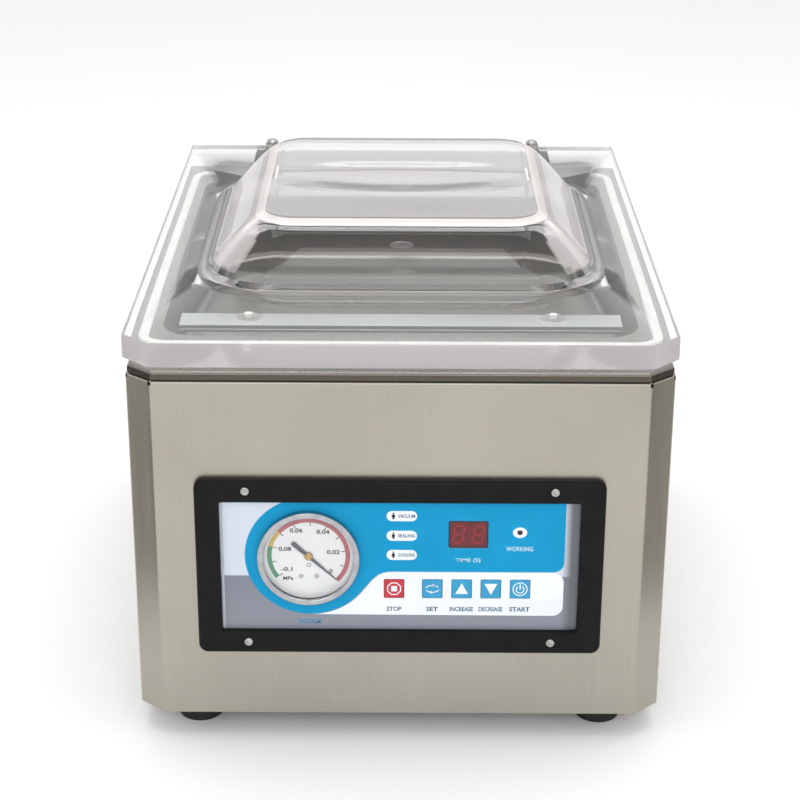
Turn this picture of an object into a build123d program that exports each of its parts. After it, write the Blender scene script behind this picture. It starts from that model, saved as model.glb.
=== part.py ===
"""Table-top vacuum packing machine: a stainless casing, a chamber with a sealing bar, a clear domed lid.

Frame: +X to the right, +Y to the back, +Z up, in millimetres. The origin is on the table, at the middle
of the machine's plan. Every piece is its own solid in its own node.
"""

import math
import os

from build123d import *

os.makedirs("parts", exist_ok=True)

# ---------------------------------------------------------------- driving dimensions
foot_height = 16.5          # table to the casing's lower edge
casing_width = 326.0
casing_depth = 406.0
casing_height = 222.5
corner_cut_x = 16.0         # the two cut front corners of the casing, in plan
corner_cut_y = 14.0
sheet = 1.2                 # stainless sheet of the casing
bend_radius = 2.4

deck_rise = 6.0             # top of the chamber deck above the casing
lid_rise = 8.0              # underside of the lid above the casing
lid_width = 330.0
lid_depth = 442.5
lid_thickness = 15.0
lid_front_gap = 2.5         # the lid's front edge behind the casing's front face
lid_corner_cut = 16.5
dome_height = 40.0
dome_wall = 6.5

panel_proud = 5.5           # bezel in front of the casing
gauge_proud = 6.0           # gauge ring in front of the casing

chamber_half_width = 144.0
chamber_front = 32.0        # inner wall faces, measured back from the casing's front face
chamber_back = 366.0
chamber_depth = 50.0        # below the deck's top
tub_sheet = 1.5

hinge_back = 426.0          # pivot behind the casing's front face
hinge_drop = 15.0           # pivot below the lid's underside
hinge_shaft_radius = 4.0

seal_bar_y = 61.0           # middle of the sealing bar, behind the casing's front face
seal_travel = 9.6

# ---------------------------------------------------------------- levels and places worked out from them
machine_depth = gauge_proud + lid_front_gap + lid_depth
front_y = -machine_depth / 2 + gauge_proud
back_y = front_y + casing_depth
half_width = casing_width / 2

casing_bottom = foot_height
casing_top = casing_bottom + casing_height
deck_top = casing_top + deck_rise
lid_bottom = casing_top + lid_rise
lid_top = lid_bottom + lid_thickness
floor_top = deck_top - chamber_depth
base_top = casing_bottom + sheet + 1.5
hinge_z = lid_bottom - hinge_drop


def from_front(distance):
    """Y of a place measured back from the casing's front face."""
    return front_y + distance


def facing_front(y):
    """Plane across the machine at y, with X to the right and Z up; its extrusions come forward."""
    return Plane.XZ.offset(-y)


def across(x):
    """Plane along the machine at x, with Y to the back and Z up; its extrusions go towards +X."""
    return Plane.YZ.offset(x)


def casing_plan(inset=0.0):
    """Plan of the casing, square at the back and cut at the front corners, with its bends rounded."""
    with BuildSketch() as plan:
        with BuildLine():
            Polyline(
                (-half_width, back_y),
                (-half_width, front_y + corner_cut_y),
                (-half_width + corner_cut_x, front_y),
                (half_width - corner_cut_x, front_y),
                (half_width, front_y + corner_cut_y),
                (half_width, back_y),
                close=True,
            )
        make_face()
        if inset > 0:
            offset(amount=-inset, kind=Kind.INTERSECTION)
        fillet(plan.vertices().sort_by(Axis.Y)[:4], radius=max(bend_radius - inset, 0.6))
    return plan.sketch


def rounded_frame(half_x, y_low, y_high, radius):
    """Rounded rectangle in plan, centred on X, between two Y places."""
    with BuildSketch() as plan:
        with Locations((0, (y_low + y_high) / 2)):
            RectangleRounded(2 * half_x, y_high - y_low, radius)
    return plan.sketch


# ================================================================ casing
# One sheet wraps the front, both cut corners and both sides, with flanges folded in at the top, at the
# bottom and at the back edges.
top_flange = 10.0
bottom_flange = 14.0
return_flange = 12.0
fold_radius = 1.0
panel_window_width = 217.0
panel_window_height = 87.0
panel_window_z = casing_bottom + 103.85
board_cutout_width = 214.0
board_cutout_height = 84.0
bezel_screw_places = [(x, panel_window_z + z) for x in (-92.6, 92.6) for z in (-50.9, 50.9)]
panel_screw_places = [(side * 157, casing_bottom + height) for side in (-1, 1) for height in (20, 111, 202)]

with BuildPart() as housing_wrap:
    with BuildSketch(Plane.XY.offset(casing_bottom)):
        add(casing_plan())
        add(casing_plan(sheet), mode=Mode.SUBTRACT)
        with Locations((0, back_y)):
            Rectangle(casing_width, 2 * sheet, mode=Mode.SUBTRACT)
            Rectangle(casing_width - 2 * sheet, 4 * sheet, mode=Mode.SUBTRACT)
    extrude(amount=casing_height)
    for flange_z, width in ((casing_bottom, bottom_flange), (casing_top - sheet, top_flange)):
        with BuildSketch(Plane.XY.offset(flange_z)):
            add(casing_plan(sheet / 2))
            add(casing_plan(width), mode=Mode.SUBTRACT)
            with Locations((0, back_y)):
                Rectangle(casing_width, 2 * (return_flange + sheet), mode=Mode.SUBTRACT)
        extrude(amount=sheet)
    top_edges = housing_wrap.edges().filter_by_position(Axis.Z, casing_top - 0.01, casing_top + 0.01)
    inner_plan = Pos(0, 0, casing_top) * casing_plan(0.5)
    fold_edges = [edge for edge in top_edges if inner_plan.distance_to(Vertex(*edge.center())) > 0.2]
    fillet(fold_edges, radius=fold_radius)
    for side in (-1, 1):
        with BuildSketch(facing_front(back_y - sheet)):
            with Locations((side * (half_width - return_flange / 2), (casing_bottom + casing_top) / 2)):
                Rectangle(return_flange, casing_height - 4)
        extrude(amount=sheet)
    with BuildSketch(Plane.XY.offset(casing_top - 2 * sheet)):
        with Locations((half_width - corner_cut_x, front_y + sheet), (-half_width + corner_cut_x, front_y + sheet)):
            Circle(1.3)
        with Locations((half_width - sheet, front_y + corner_cut_y), (-half_width + sheet, front_y + corner_cut_y)):
            Circle(1.3)
    extrude(amount=3 * sheet, mode=Mode.SUBTRACT)
    with BuildSketch(facing_front(front_y + 2 * sheet)):
        with Locations((0, panel_window_z)):
            RectangleRounded(board_cutout_width, board_cutout_height, 5)
        with Locations(*bezel_screw_places):
            Circle(1.7)
    extrude(amount=4 * sheet, mode=Mode.SUBTRACT)
    with BuildSketch(facing_front(back_y)):
        with Locations(*panel_screw_places):
            Circle(2.1)
    extrude(amount=3 * sheet, mode=Mode.SUBTRACT)

housing_wrap.part.label = "housing_wrap"
export_step(housing_wrap.part, "parts/housing_wrap.step")

# Back panel: vents, the mains inlet, the power switch, and holes for the hinge brackets' screws.
inlet_x = 95.0
switch_x = 95.0
inlet_z = casing_bottom + 38
switch_z = casing_bottom + 78
vent_x = -60.0
bracket_x = (-73.0, 73.0)
bracket_screw_z = (casing_top - 26, casing_top - 10)
bracket_screw_places = [(x, z) for x in bracket_x for z in bracket_screw_z]

with BuildPart() as back_panel:
    with BuildSketch(facing_front(back_y)):
        with Locations((0, (casing_bottom + casing_top) / 2)):
            Rectangle(casing_width, casing_height)
    extrude(amount=sheet)
    with BuildSketch(Plane.XY.offset(casing_top - sheet)):
        with Locations((0, back_y - top_flange / 2)):
            Rectangle(2 * (half_width - return_flange - 1.5), top_flange)
    extrude(amount=sheet)
    with BuildSketch(facing_front(back_y + 1)):
        with Locations((inlet_x, inlet_z)):
            Rectangle(27.6, 20.4)
        with Locations((switch_x, switch_z)):
            Rectangle(27.0, 21.0)
        with Locations(*panel_screw_places, *bracket_screw_places):
            Circle(2.1)
        with Locations((vent_x, casing_bottom + 105)):
            with GridLocations(76, 11, 2, 9):
                SlotOverall(64, 4.5)
    extrude(amount=sheet + 2, mode=Mode.SUBTRACT)

back_panel.part.label = "back_panel"
export_step(back_panel.part, "parts/back_panel.step")


def pan_screw(radius, head_radius, head_height, length):
    """Cross-head pan screw along +Z, its head's underside at zero and its shank below."""
    with BuildPart() as screw:
        Cylinder(head_radius, head_height, align=(Align.CENTER, Align.CENTER, Align.MIN))
        fillet(screw.faces().sort_by(Axis.Z)[-1].edges(), radius=0.6 * head_height)
        Cylinder(radius, length, align=(Align.CENTER, Align.CENTER, Align.MAX))
        with BuildSketch(Plane.XY.offset(head_height)):
            Rectangle(1.1 * head_radius, 0.28 * head_radius)
            Rectangle(0.28 * head_radius, 1.1 * head_radius)
        extrude(amount=-0.6 * head_height, mode=Mode.SUBTRACT)
    return screw.part


back_screw = pan_screw(1.95, 3.6, 2.2, 5.0)
bracket_thickness = 3.0

with BuildPart() as back_panel_screws:
    for x, z in panel_screw_places:
        add(Plane((x, back_y, z), z_dir=(0, 1, 0)) * back_screw)
    for x, z in bracket_screw_places:
        add(Plane((x, back_y + bracket_thickness, z), z_dir=(0, 1, 0)) * back_screw)

back_panel_screws.part.label = "back_panel_screws"
export_step(back_panel_screws.part, "parts/back_panel_screws.step")


# Floor plate, resting on the bottom flanges, with vents under the motor.
foot_x = 127.0
foot_inset = 30.0
foot_places = [(side * foot_x, y) for side in (-1, 1) for y in (from_front(foot_inset), back_y - foot_inset)]
pump_x = -68.0
mount_places = [(pump_x + side * 42, from_front(y)) for side in (-1, 1) for y in (150, 300)]

with BuildPart() as base_plate:
    with BuildSketch(Plane.XY.offset(casing_bottom + sheet)):
        add(casing_plan(sheet + 0.6))
        with Locations((0, back_y)):
            Rectangle(casing_width, 6, mode=Mode.SUBTRACT)
        with Locations(*foot_places, *mount_places):
            Circle(2.75, mode=Mode.SUBTRACT)
        with Locations((pump_x, from_front(235))):
            with GridLocations(0, 14, 1, 8):
                SlotOverall(56, 5, mode=Mode.SUBTRACT)
        with Locations((85, from_front(120))):
            with GridLocations(0, 14, 1, 6):
                SlotOverall(56, 5, mode=Mode.SUBTRACT)
    extrude(amount=1.5)

base_plate.part.label = "base_plate"
export_step(base_plate.part, "parts/base_plate.step")

# Rubber feet, tapered, with the screw's head sunk into each.
foot_top = casing_bottom + sheet
with BuildPart() as rubber_feet:
    with Locations(*[(x, y, 0) for x, y in foot_places]):
        Cone(14.0, 15.5, foot_top, align=(Align.CENTER, Align.CENTER, Align.MIN))
    fillet(rubber_feet.edges().filter_by(GeomType.CIRCLE).group_by(Axis.Z)[0], radius=1.2)
    with Locations(*[(x, y, 0) for x, y in foot_places]):
        Cylinder(6.0, 9.0, align=(Align.CENTER, Align.CENTER, Align.MIN), mode=Mode.SUBTRACT)
        Cylinder(2.75, foot_top, align=(Align.CENTER, Align.CENTER, Align.MIN), mode=Mode.SUBTRACT)

rubber_feet.part.label = "rubber_feet"
export_step(rubber_feet.part, "parts/rubber_feet.step")

with BuildPart() as foot_fasteners:
    with Locations(*[(x, y, 0) for x, y in foot_places]):
        with Locations((0, 0, 6.0)):
            Cylinder(5.0, 3.0, align=(Align.CENTER, Align.CENTER, Align.MIN))
        with Locations((0, 0, 9.0)):
            Cylinder(2.5, 17.0, align=(Align.CENTER, Align.CENTER, Align.MIN))
    with BuildSketch(Plane.XY.offset(base_top)):
        with Locations(*foot_places):
            RegularPolygon(4.6, 6)
            Circle(2.55, mode=Mode.SUBTRACT)
    extrude(amount=4)

foot_fasteners.part.label = "foot_fasteners"
export_step(foot_fasteners.part, "parts/foot_fasteners.step")

# ================================================================ chamber
# A rubber strip between the casing's top flange and the deck's rim.
strip_height = 1.0
rim_inset = 1.0

with BuildPart() as deck_seal_strip:
    with BuildSketch(Plane.XY.offset(casing_top)):
        add(casing_plan(rim_inset + 0.6))
        add(casing_plan(rim_inset + 3.3), mode=Mode.SUBTRACT)
    extrude(amount=strip_height)

deck_seal_strip.part.label = "deck_seal_strip"
export_step(deck_seal_strip.part, "parts/deck_seal_strip.step")

gasket_half_width = 153.5
gasket_front = from_front(19.0)
gasket_back = from_front(381.0)
gasket_corner = 14.0
gasket_width = 6.5
groove_width = 7.0
groove_depth = 4.0


def gasket_ring(width):
    """Plan of a ring of the given width along the gasket's line."""
    with BuildSketch() as plan:
        add(rounded_frame(gasket_half_width + width / 2, gasket_front - width / 2, gasket_back + width / 2,
                          gasket_corner + width / 2))
        add(rounded_frame(gasket_half_width - width / 2, gasket_front + width / 2, gasket_back - width / 2,
                          gasket_corner - width / 2), mode=Mode.SUBTRACT)
    return plan.sketch


def basin(grow, bottom, top):
    """Solid of the chamber's hollow, grown on its sides, with its lower edges rounded."""
    with BuildPart() as hollow:
        with BuildSketch(Plane.XY.offset(bottom)):
            add(rounded_frame(chamber_half_width + grow, from_front(chamber_front) - grow,
                              from_front(chamber_back) + grow, 24 + grow))
        extrude(amount=top - bottom)
        fillet(hollow.faces().sort_by(Axis.Z)[0].edges(), radius=8 + grow)
    return hollow.part


port_z = casing_top - 23
port_y = from_front(chamber_back)
cylinder_places = [(side * 96.0, from_front(seal_bar_y)) for side in (-1, 1)]
terminal_places = [(side * 127.5, from_front(48.0)) for side in (-1, 1)]

with BuildPart() as chamber_tub:
    with BuildSketch(Plane.XY.offset(casing_top + strip_height)):
        add(casing_plan(rim_inset))
    extrude(amount=deck_rise - strip_height)
    fillet(chamber_tub.faces().sort_by(Axis.Z)[-1].edges(), radius=2.4)
    with BuildSketch(Plane.XY.offset(casing_top)):
        add(casing_plan(rim_inset + tub_sheet))
    extrude(amount=deck_rise - tub_sheet, mode=Mode.SUBTRACT)
    with BuildSketch(Plane.XY.offset(deck_top - groove_depth - tub_sheet)):
        add(gasket_ring(groove_width + 2 * tub_sheet))
    extrude(amount=groove_depth + tub_sheet)
    add(basin(tub_sheet, floor_top - tub_sheet, deck_top - 0.2))
    add(basin(0, floor_top, deck_top + 5), mode=Mode.SUBTRACT)
    with BuildSketch(Plane.XY.offset(deck_top - groove_depth)):
        add(gasket_ring(groove_width))
    extrude(amount=groove_depth + 1, mode=Mode.SUBTRACT)
    with BuildSketch(facing_front(port_y + 5)):
        with Locations((0, port_z)):
            Circle(8.0)
    extrude(amount=8, mode=Mode.SUBTRACT)
    with BuildSketch(Plane.XY.offset(floor_top - 5)):
        with Locations(*cylinder_places):
            Circle(9.0)
        with Locations(*terminal_places):
            Circle(3.4)
    extrude(amount=8, mode=Mode.SUBTRACT)

chamber_tub.part.label = "chamber_tub"
export_step(chamber_tub.part, "parts/chamber_tub.step")

# Silicone gasket in the deck's groove; the closed lid lies on it.
gasket_clearance = 0.1
gasket_bottom = deck_top - groove_depth

with BuildPart() as lid_gasket:
    with BuildSketch(Plane.XY.offset(gasket_bottom)):
        add(gasket_ring(gasket_width))
    extrude(amount=lid_bottom - gasket_clearance - gasket_bottom)
    fillet(lid_gasket.faces().sort_by(Axis.Z)[-1].edges(), radius=1.6)

lid_gasket.part.label = "lid_gasket"
export_step(lid_gasket.part, "parts/lid_gasket.step")

# Suction port: a flanged fitting through the back wall, with a pierced cap inside and an elbow outside.
port_flange = 10.0
elbow_y = from_front(386.0)
elbow_bottom = port_z - 14

with BuildPart() as suction_port:
    with BuildSketch(facing_front(port_y)):
        with Locations((0, port_z)):
            Circle(port_flange)
    extrude(amount=4)
    fillet(suction_port.faces().sort_by(Axis.Y)[0].edges(), radius=1.5)
    with BuildSketch(facing_front(elbow_y)):
        with Locations((0, port_z)):
            Circle(7.9)
    extrude(amount=elbow_y - port_y)
    with BuildSketch(facing_front(port_y + tub_sheet + 4)):
        with Locations((0, port_z)):
            RegularPolygon(12, 6)
            Circle(7.5, mode=Mode.SUBTRACT)
    extrude(amount=4)
    with BuildSketch(Plane.XY.offset(elbow_bottom)):
        with Locations((0, elbow_y)):
            Circle(7.9)
    extrude(amount=14)
    with Locations((0, elbow_y, port_z)):
        Sphere(7.9)
    with BuildSketch(Plane.XY.offset(elbow_bottom)):
        with Locations((0, elbow_y)):
            Circle(4.5)
    extrude(amount=16, mode=Mode.SUBTRACT)
    with BuildSketch(facing_front(elbow_y)):
        with Locations((0, port_z)):
            Circle(4.5)
    extrude(amount=elbow_y - port_y + 2, mode=Mode.SUBTRACT)
    with BuildSketch(facing_front(port_y)):
        with Locations((0, port_z)):
            for ring_radius, count in ((2.6, 6), (5.4, 10)):
                with PolarLocations(ring_radius, count):
                    Circle(0.8)
            Circle(0.8)
    extrude(amount=6, mode=Mode.SUBTRACT)

suction_port.part.label = "suction_port"
export_step(suction_port.part, "parts/suction_port.step")

# Terminal posts beside the sealing bar's ends, each in an insulating collar's place in the floor.
with BuildPart() as seal_terminals:
    for x, y in terminal_places:
        with Locations((x, y, floor_top)):
            Cylinder(4.4, 4.0, align=(Align.CENTER, Align.CENTER, Align.MIN))
        with Locations((x, y, floor_top - 12)):
            Cylinder(3.3, 38.0, align=(Align.CENTER, Align.CENTER, Align.MIN))
        with Locations((x, y, floor_top + 26)):
            Cylinder(3.9, 3.0, align=(Align.CENTER, Align.CENTER, Align.MIN))

seal_terminals.part.label = "seal_terminals"
export_step(seal_terminals.part, "parts/seal_terminals.step")

# ================================================================ sealing bar and its lift
bar_length = 262.0
bar_width = 14.0
bar_bottom = floor_top + 11
bar_top = lid_bottom - 10.0 - 0.4 - seal_travel - 0.9
piston_radius = 18.0
rod_radius = 4.0
cylinder_top = floor_top - tub_sheet
cylinder_height = 50.0
cylinder_bottom = cylinder_top - cylinder_height
piston_bottom = cylinder_bottom + 5
piston_thickness = 8.0
spring_bottom = piston_bottom + piston_thickness
spring_top = cylinder_top - 5
running_gap = 0.05

with BuildPart() as seal_bar:
    with BuildSketch(across(-bar_length / 2)):
        with Locations((from_front(seal_bar_y), (bar_bottom + bar_top) / 2)):
            Rectangle(bar_width, bar_top - bar_bottom)
        with Locations((from_front(seal_bar_y), bar_bottom)):
            Rectangle(6, 8, mode=Mode.SUBTRACT)
    extrude(amount=bar_length)
    with BuildSketch(Plane.XY.offset(bar_bottom)):
        with Locations(*cylinder_places):
            Circle(6.5)
    extrude(amount=6)
    fillet(seal_bar.edges().filter_by(Axis.X).group_by(Axis.Z)[-1], radius=1.0)

seal_bar.part.label = "seal_bar"
export_step(seal_bar.part, "parts/seal_bar.step")

wire_width = 8.0
wire_thickness = 0.4
with BuildPart() as heating_wire:
    with BuildSketch(Plane.XY.offset(bar_top)):
        with Locations((0, from_front(seal_bar_y))):
            Rectangle(bar_length - 4, wire_width)
    extrude(amount=wire_thickness)

heating_wire.part.label = "heating_wire"
export_step(heating_wire.part, "parts/heating_wire.step")

tape_thickness = 0.3
tape_gap = 0.1
with BuildPart() as release_tape:
    with BuildSketch(across(-bar_length / 2)):
        with Locations((from_front(seal_bar_y), bar_top + wire_thickness + tape_gap + tape_thickness - 5)):
            Rectangle(bar_width + 2 * (tape_gap + tape_thickness), 10)
        with Locations((from_front(seal_bar_y), bar_top + wire_thickness + tape_gap - 6)):
            Rectangle(bar_width + 2 * tape_gap, 12, mode=Mode.SUBTRACT)
    extrude(amount=bar_length)

release_tape.part.label = "release_tape"
export_step(release_tape.part, "parts/release_tape.step")

with BuildPart() as seal_rods:
    for x, y in cylinder_places:
        with Locations((x, y, piston_bottom)):
            Cylinder(piston_radius, piston_thickness, align=(Align.CENTER, Align.CENTER, Align.MIN))
            Cylinder(rod_radius, bar_bottom - piston_bottom, align=(Align.CENTER, Align.CENTER, Align.MIN))

seal_rods.part.label = "seal_rods"
export_step(seal_rods.part, "parts/seal_rods.step")

with BuildPart() as seal_cylinders:
    for x, y in cylinder_places:
        with Locations((x, y, cylinder_bottom)):
            Cylinder(22.0, cylinder_height, align=(Align.CENTER, Align.CENTER, Align.MIN))
            Cylinder(8.9, cylinder_height + tub_sheet + 4, align=(Align.CENTER, Align.CENTER, Align.MIN))
        with Locations((x, y, floor_top)):
            Cylinder(11.0, 4.0, align=(Align.CENTER, Align.CENTER, Align.MIN))
    for x, y in cylinder_places:
        with Locations((x, y, cylinder_bottom + 3)):
            Cylinder(piston_radius + running_gap, cylinder_height - 8, align=(Align.CENTER, Align.CENTER, Align.MIN),
                     mode=Mode.SUBTRACT)
            Cylinder(rod_radius + running_gap, cylinder_height + 10, align=(Align.CENTER, Align.CENTER, Align.MIN),
                     mode=Mode.SUBTRACT)
        with Locations((x, y, cylinder_bottom - 1)):
            Cylinder(2.0, 6.0, align=(Align.CENTER, Align.CENTER, Align.MIN), mode=Mode.SUBTRACT)

seal_cylinders.part.label = "seal_cylinders"
export_step(seal_cylinders.part, "parts/seal_cylinders.step")


def coil_spring(mean_radius, wire_radius, length, turns):
    """Coil spring standing on the XY plane, its wire's lowest point at zero."""
    with BuildPart() as spring:
        with BuildLine():
            coil = Helix((length - 2 * wire_radius) / turns, length - 2 * wire_radius, mean_radius,
                         center=(0, 0, wire_radius))
        with BuildSketch(Plane(origin=coil @ 0, z_dir=coil % 0)):
            Circle(wire_radius)
        sweep()
    return spring.part


return_spring = coil_spring(9.0, 0.8, spring_top - spring_bottom - 0.4, 6)
with BuildPart() as return_springs:
    for x, y in cylinder_places:
        add(Pos(x, y, spring_bottom + 0.2) * return_spring)

return_springs.part.label = "return_springs"
export_step(return_springs.part, "parts/return_springs.step")

# ================================================================ lid
dome_y = from_front(221.0)
dome_base_half_x = 129.0
dome_base_half_y = 124.0
dome_top_half_x = 92.0
dome_top_half_y = 103.0
dome_base_corner = 47.0
dome_top_corner = 25.0
lid_front = from_front(lid_front_gap)
lid_back = lid_front + lid_depth
lid_bolt_places = [(side * 101.0, from_front(434.0)) for side in (-1, 1)]
pressure_bar_y = from_front(61.0)
bar_screw_places = [(side * 93.0, from_front(63.0)) for side in (-1, 1)]
bar_screw_reach = 8.0


def dome_plan(height, inset, spread):
    """Plan of the dome at a height above the lid's top, drawn in by an inset and out by a spread."""
    share = height / dome_height
    half_x = dome_base_half_x + share * (dome_top_half_x - dome_base_half_x) - inset + spread
    half_y = dome_base_half_y + share * (dome_top_half_y - dome_base_half_y) - inset + spread
    corner = dome_base_corner + share * (dome_top_corner - dome_base_corner) - inset + spread
    with BuildSketch(Plane.XY.offset(lid_top + height)) as plan:
        with Locations((0, dome_y)):
            RectangleRounded(2 * half_x, 2 * half_y, corner)
    return plan.sketch


def eased_in(height, start, end, amount):
    """Amount by which a rounded edge between two heights draws the wall in, as on a quarter circle."""
    share = min(max((height - start) / (end - start), 0.0), 1.0)
    return amount * (1 - math.sqrt(1 - share * share))


def dome_outside():
    """Outer solid of the dome, flaring into the lid's top and rounded over at its crown."""
    with BuildPart() as outside:
        for height in (0, 3, 6, 11, 20, 29, 34, 38, dome_height):
            flare = 13.0 * (1 - min(height / 11, 1)) ** 2
            add(dome_plan(height, eased_in(height, 29, dome_height + 0.5, 7.0), flare))
        loft()
    return outside.part


def dome_inside():
    """Hollow of the dome, open at the lid's underside, where its edge is rounded."""
    with BuildPart() as inside:
        crown = dome_height - dome_wall
        for height in (-lid_thickness, -lid_thickness + 2, -lid_thickness + 5, -4, 8, 20, 27, crown - 2, crown):
            lip = 5.0 * (1 - min((height + lid_thickness) / 5, 1)) ** 2
            slope = max(height, 0.0) - height
            add(dome_plan(height, dome_wall + 0.9 * slope + eased_in(height, 22, crown + 0.5, 6.0), lip))
        loft()
    return inside.part


with BuildPart() as lid:
    with BuildSketch(Plane.XY.offset(lid_bottom)):
        with Locations((0, (lid_front + lid_back) / 2)):
            Rectangle(lid_width, lid_depth)
    extrude(amount=lid_thickness)
    chamfer(lid.edges().filter_by(Axis.Z).group_by(Axis.Y)[0], length=lid_corner_cut)
    chamfer(lid.faces().sort_by(Axis.Z)[-1].edges(), length=0.8)
    add(dome_outside())
    add(dome_inside(), mode=Mode.SUBTRACT)
    with BuildSketch(Plane.XY.offset(lid_bottom)):
        with Locations(*lid_bolt_places):
            Circle(3.2)
    extrude(amount=lid_thickness, mode=Mode.SUBTRACT)
    with BuildSketch(Plane.XY.offset(lid_bottom)):
        with Locations(*bar_screw_places):
            Circle(2.55)
    extrude(amount=bar_screw_reach + 1, mode=Mode.SUBTRACT)

lid.part.label = "lid"
export_step(lid.part, "parts/lid.step")

# Upper bar under the lid: an aluminium bar with a silicone strip that the sealing bar presses on.
pressure_bar_length = 268.0
pressure_bar_width = 21.0
washer_thickness = 0.8
pressure_bar_top = lid_bottom - washer_thickness
pressure_bar_bottom = lid_bottom - 7.0
silicone_depth = 3.0
silicone_width = 11.0

with BuildPart() as pressure_bar:
    with BuildSketch(across(-pressure_bar_length / 2)):
        with Locations((pressure_bar_y, (pressure_bar_top + pressure_bar_bottom) / 2)):
            Rectangle(pressure_bar_width, pressure_bar_top - pressure_bar_bottom)
        with Locations((pressure_bar_y, pressure_bar_bottom)):
            Rectangle(silicone_width, 3.0, mode=Mode.SUBTRACT)
        for side in (-1, 1):
            with Locations((pressure_bar_y + side * pressure_bar_width / 2, pressure_bar_bottom + 2.4)):
                Rectangle(1.2, 0.8, mode=Mode.SUBTRACT)
    extrude(amount=pressure_bar_length)
    chamfer(pressure_bar.faces().sort_by(Axis.Z)[-1].edges().filter_by(Axis.X), length=0.6)
    with BuildSketch(Plane.XY.offset(pressure_bar_bottom)):
        with Locations(*bar_screw_places):
            Circle(2.6)
    extrude(amount=8, mode=Mode.SUBTRACT)
    with BuildSketch(Plane.XY.offset(pressure_bar_bottom)):
        with Locations(*bar_screw_places):
            Circle(4.7)
    extrude(amount=3.6, mode=Mode.SUBTRACT)

pressure_bar.part.label = "pressure_bar"
export_step(pressure_bar.part, "parts/pressure_bar.step")

with BuildPart() as silicone_strip:
    with BuildSketch(across(-pressure_bar_length / 2 + 1)):
        with Locations((pressure_bar_y, pressure_bar_bottom + (1.5 - silicone_depth) / 2)):
            Rectangle(silicone_width - 0.1, silicone_depth + 1.4)
    extrude(amount=pressure_bar_length - 2)
    fillet(silicone_strip.edges().filter_by(Axis.X).group_by(Axis.Z)[0], radius=1.4)
    with BuildSketch(Plane.XY.offset(pressure_bar_bottom)):
        with Locations(*bar_screw_places):
            Circle(4.8)
    extrude(amount=3, mode=Mode.SUBTRACT)

silicone_strip.part.label = "silicone_strip"
export_step(silicone_strip.part, "parts/silicone_strip.step")

bar_screw = pan_screw(2.5, 4.5, 2.6, pressure_bar_top - pressure_bar_bottom - 3.6 + washer_thickness + bar_screw_reach)
with BuildPart() as pressure_bar_screws:
    for x, y in bar_screw_places:
        add(Plane((x, y, pressure_bar_bottom + 3.6), z_dir=(0, 0, -1)) * bar_screw)
    with BuildSketch(Plane.XY.offset(pressure_bar_top)):
        with Locations(*bar_screw_places):
            Circle(8.5)
            Circle(2.7, mode=Mode.SUBTRACT)
    extrude(amount=washer_thickness)

pressure_bar_screws.part.label = "pressure_bar_screws"
export_step(pressure_bar_screws.part, "parts/pressure_bar_screws.step")

# Hinge plate under the lid's overhang, with an ear folded down at each end round the shaft.
hinge_y = from_front(hinge_back)
plate_half = 114.0
plate_thickness = 2.0
ear_radius = 9.0
plate_front = from_front(409.0)
plate_back = from_front(443.5)

with BuildPart() as hinge_plate:
    with BuildSketch(Plane.XY.offset(lid_bottom - plate_thickness)):
        with Locations((0, (plate_front + plate_back) / 2)):
            Rectangle(2 * plate_half, plate_back - plate_front)
        with Locations(*lid_bolt_places):
            Circle(3.2, mode=Mode.SUBTRACT)
    extrude(amount=plate_thickness)
    for x in (-plate_half, plate_half - plate_thickness):
        with BuildSketch(across(x)):
            with Locations((hinge_y, hinge_z)):
                Circle(ear_radius)
            with Locations((hinge_y, (hinge_z + lid_bottom) / 2 - 0.5)):
                Rectangle(2 * ear_radius, lid_bottom - hinge_z - 1)
            with Locations((hinge_y, hinge_z)):
                Circle(hinge_shaft_radius + running_gap, mode=Mode.SUBTRACT)
        extrude(amount=plate_thickness)

hinge_plate.part.label = "hinge_plate"
export_step(hinge_plate.part, "parts/hinge_plate.step")

with BuildPart() as lid_bolts:
    with Locations(*[(x, y, lid_top) for x, y in lid_bolt_places]):
        Cylinder(4.4, 8.0, align=(Align.CENTER, Align.CENTER, Align.MIN))
    fillet(lid_bolts.edges().filter_by(GeomType.CIRCLE).group_by(Axis.Z)[-1], radius=2.6)
    with Locations(*[(x, y, lid_top) for x, y in lid_bolt_places]):
        Cylinder(6.5, 1.0, align=(Align.CENTER, Align.CENTER, Align.MIN))
    with BuildSketch(Plane.XY.offset(lid_top)):
        with Locations(*lid_bolt_places):
            RegularPolygon(5.3, 6)
    extrude(amount=5.0)
    with Locations(*[(x, y, lid_bottom - 8.5) for x, y in lid_bolt_places]):
        Cylinder(2.95, lid_thickness + 10, align=(Align.CENTER, Align.CENTER, Align.MIN))
    with BuildSketch(Plane.XY.offset(lid_bottom - plate_thickness - 5)):
        with Locations(*lid_bolt_places):
            RegularPolygon(5.3, 6)
    extrude(amount=5.0)

lid_bolts.part.label = "lid_bolts"
export_step(lid_bolts.part, "parts/lid_bolts.step")

# Hinge brackets on the back panel, the shaft between them, and a torsion spring beside each bracket.
bracket_outer = 87.0
bracket_inner = 62.0
bracket_low = casing_top - 34
bracket_high = casing_top - 2

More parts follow.
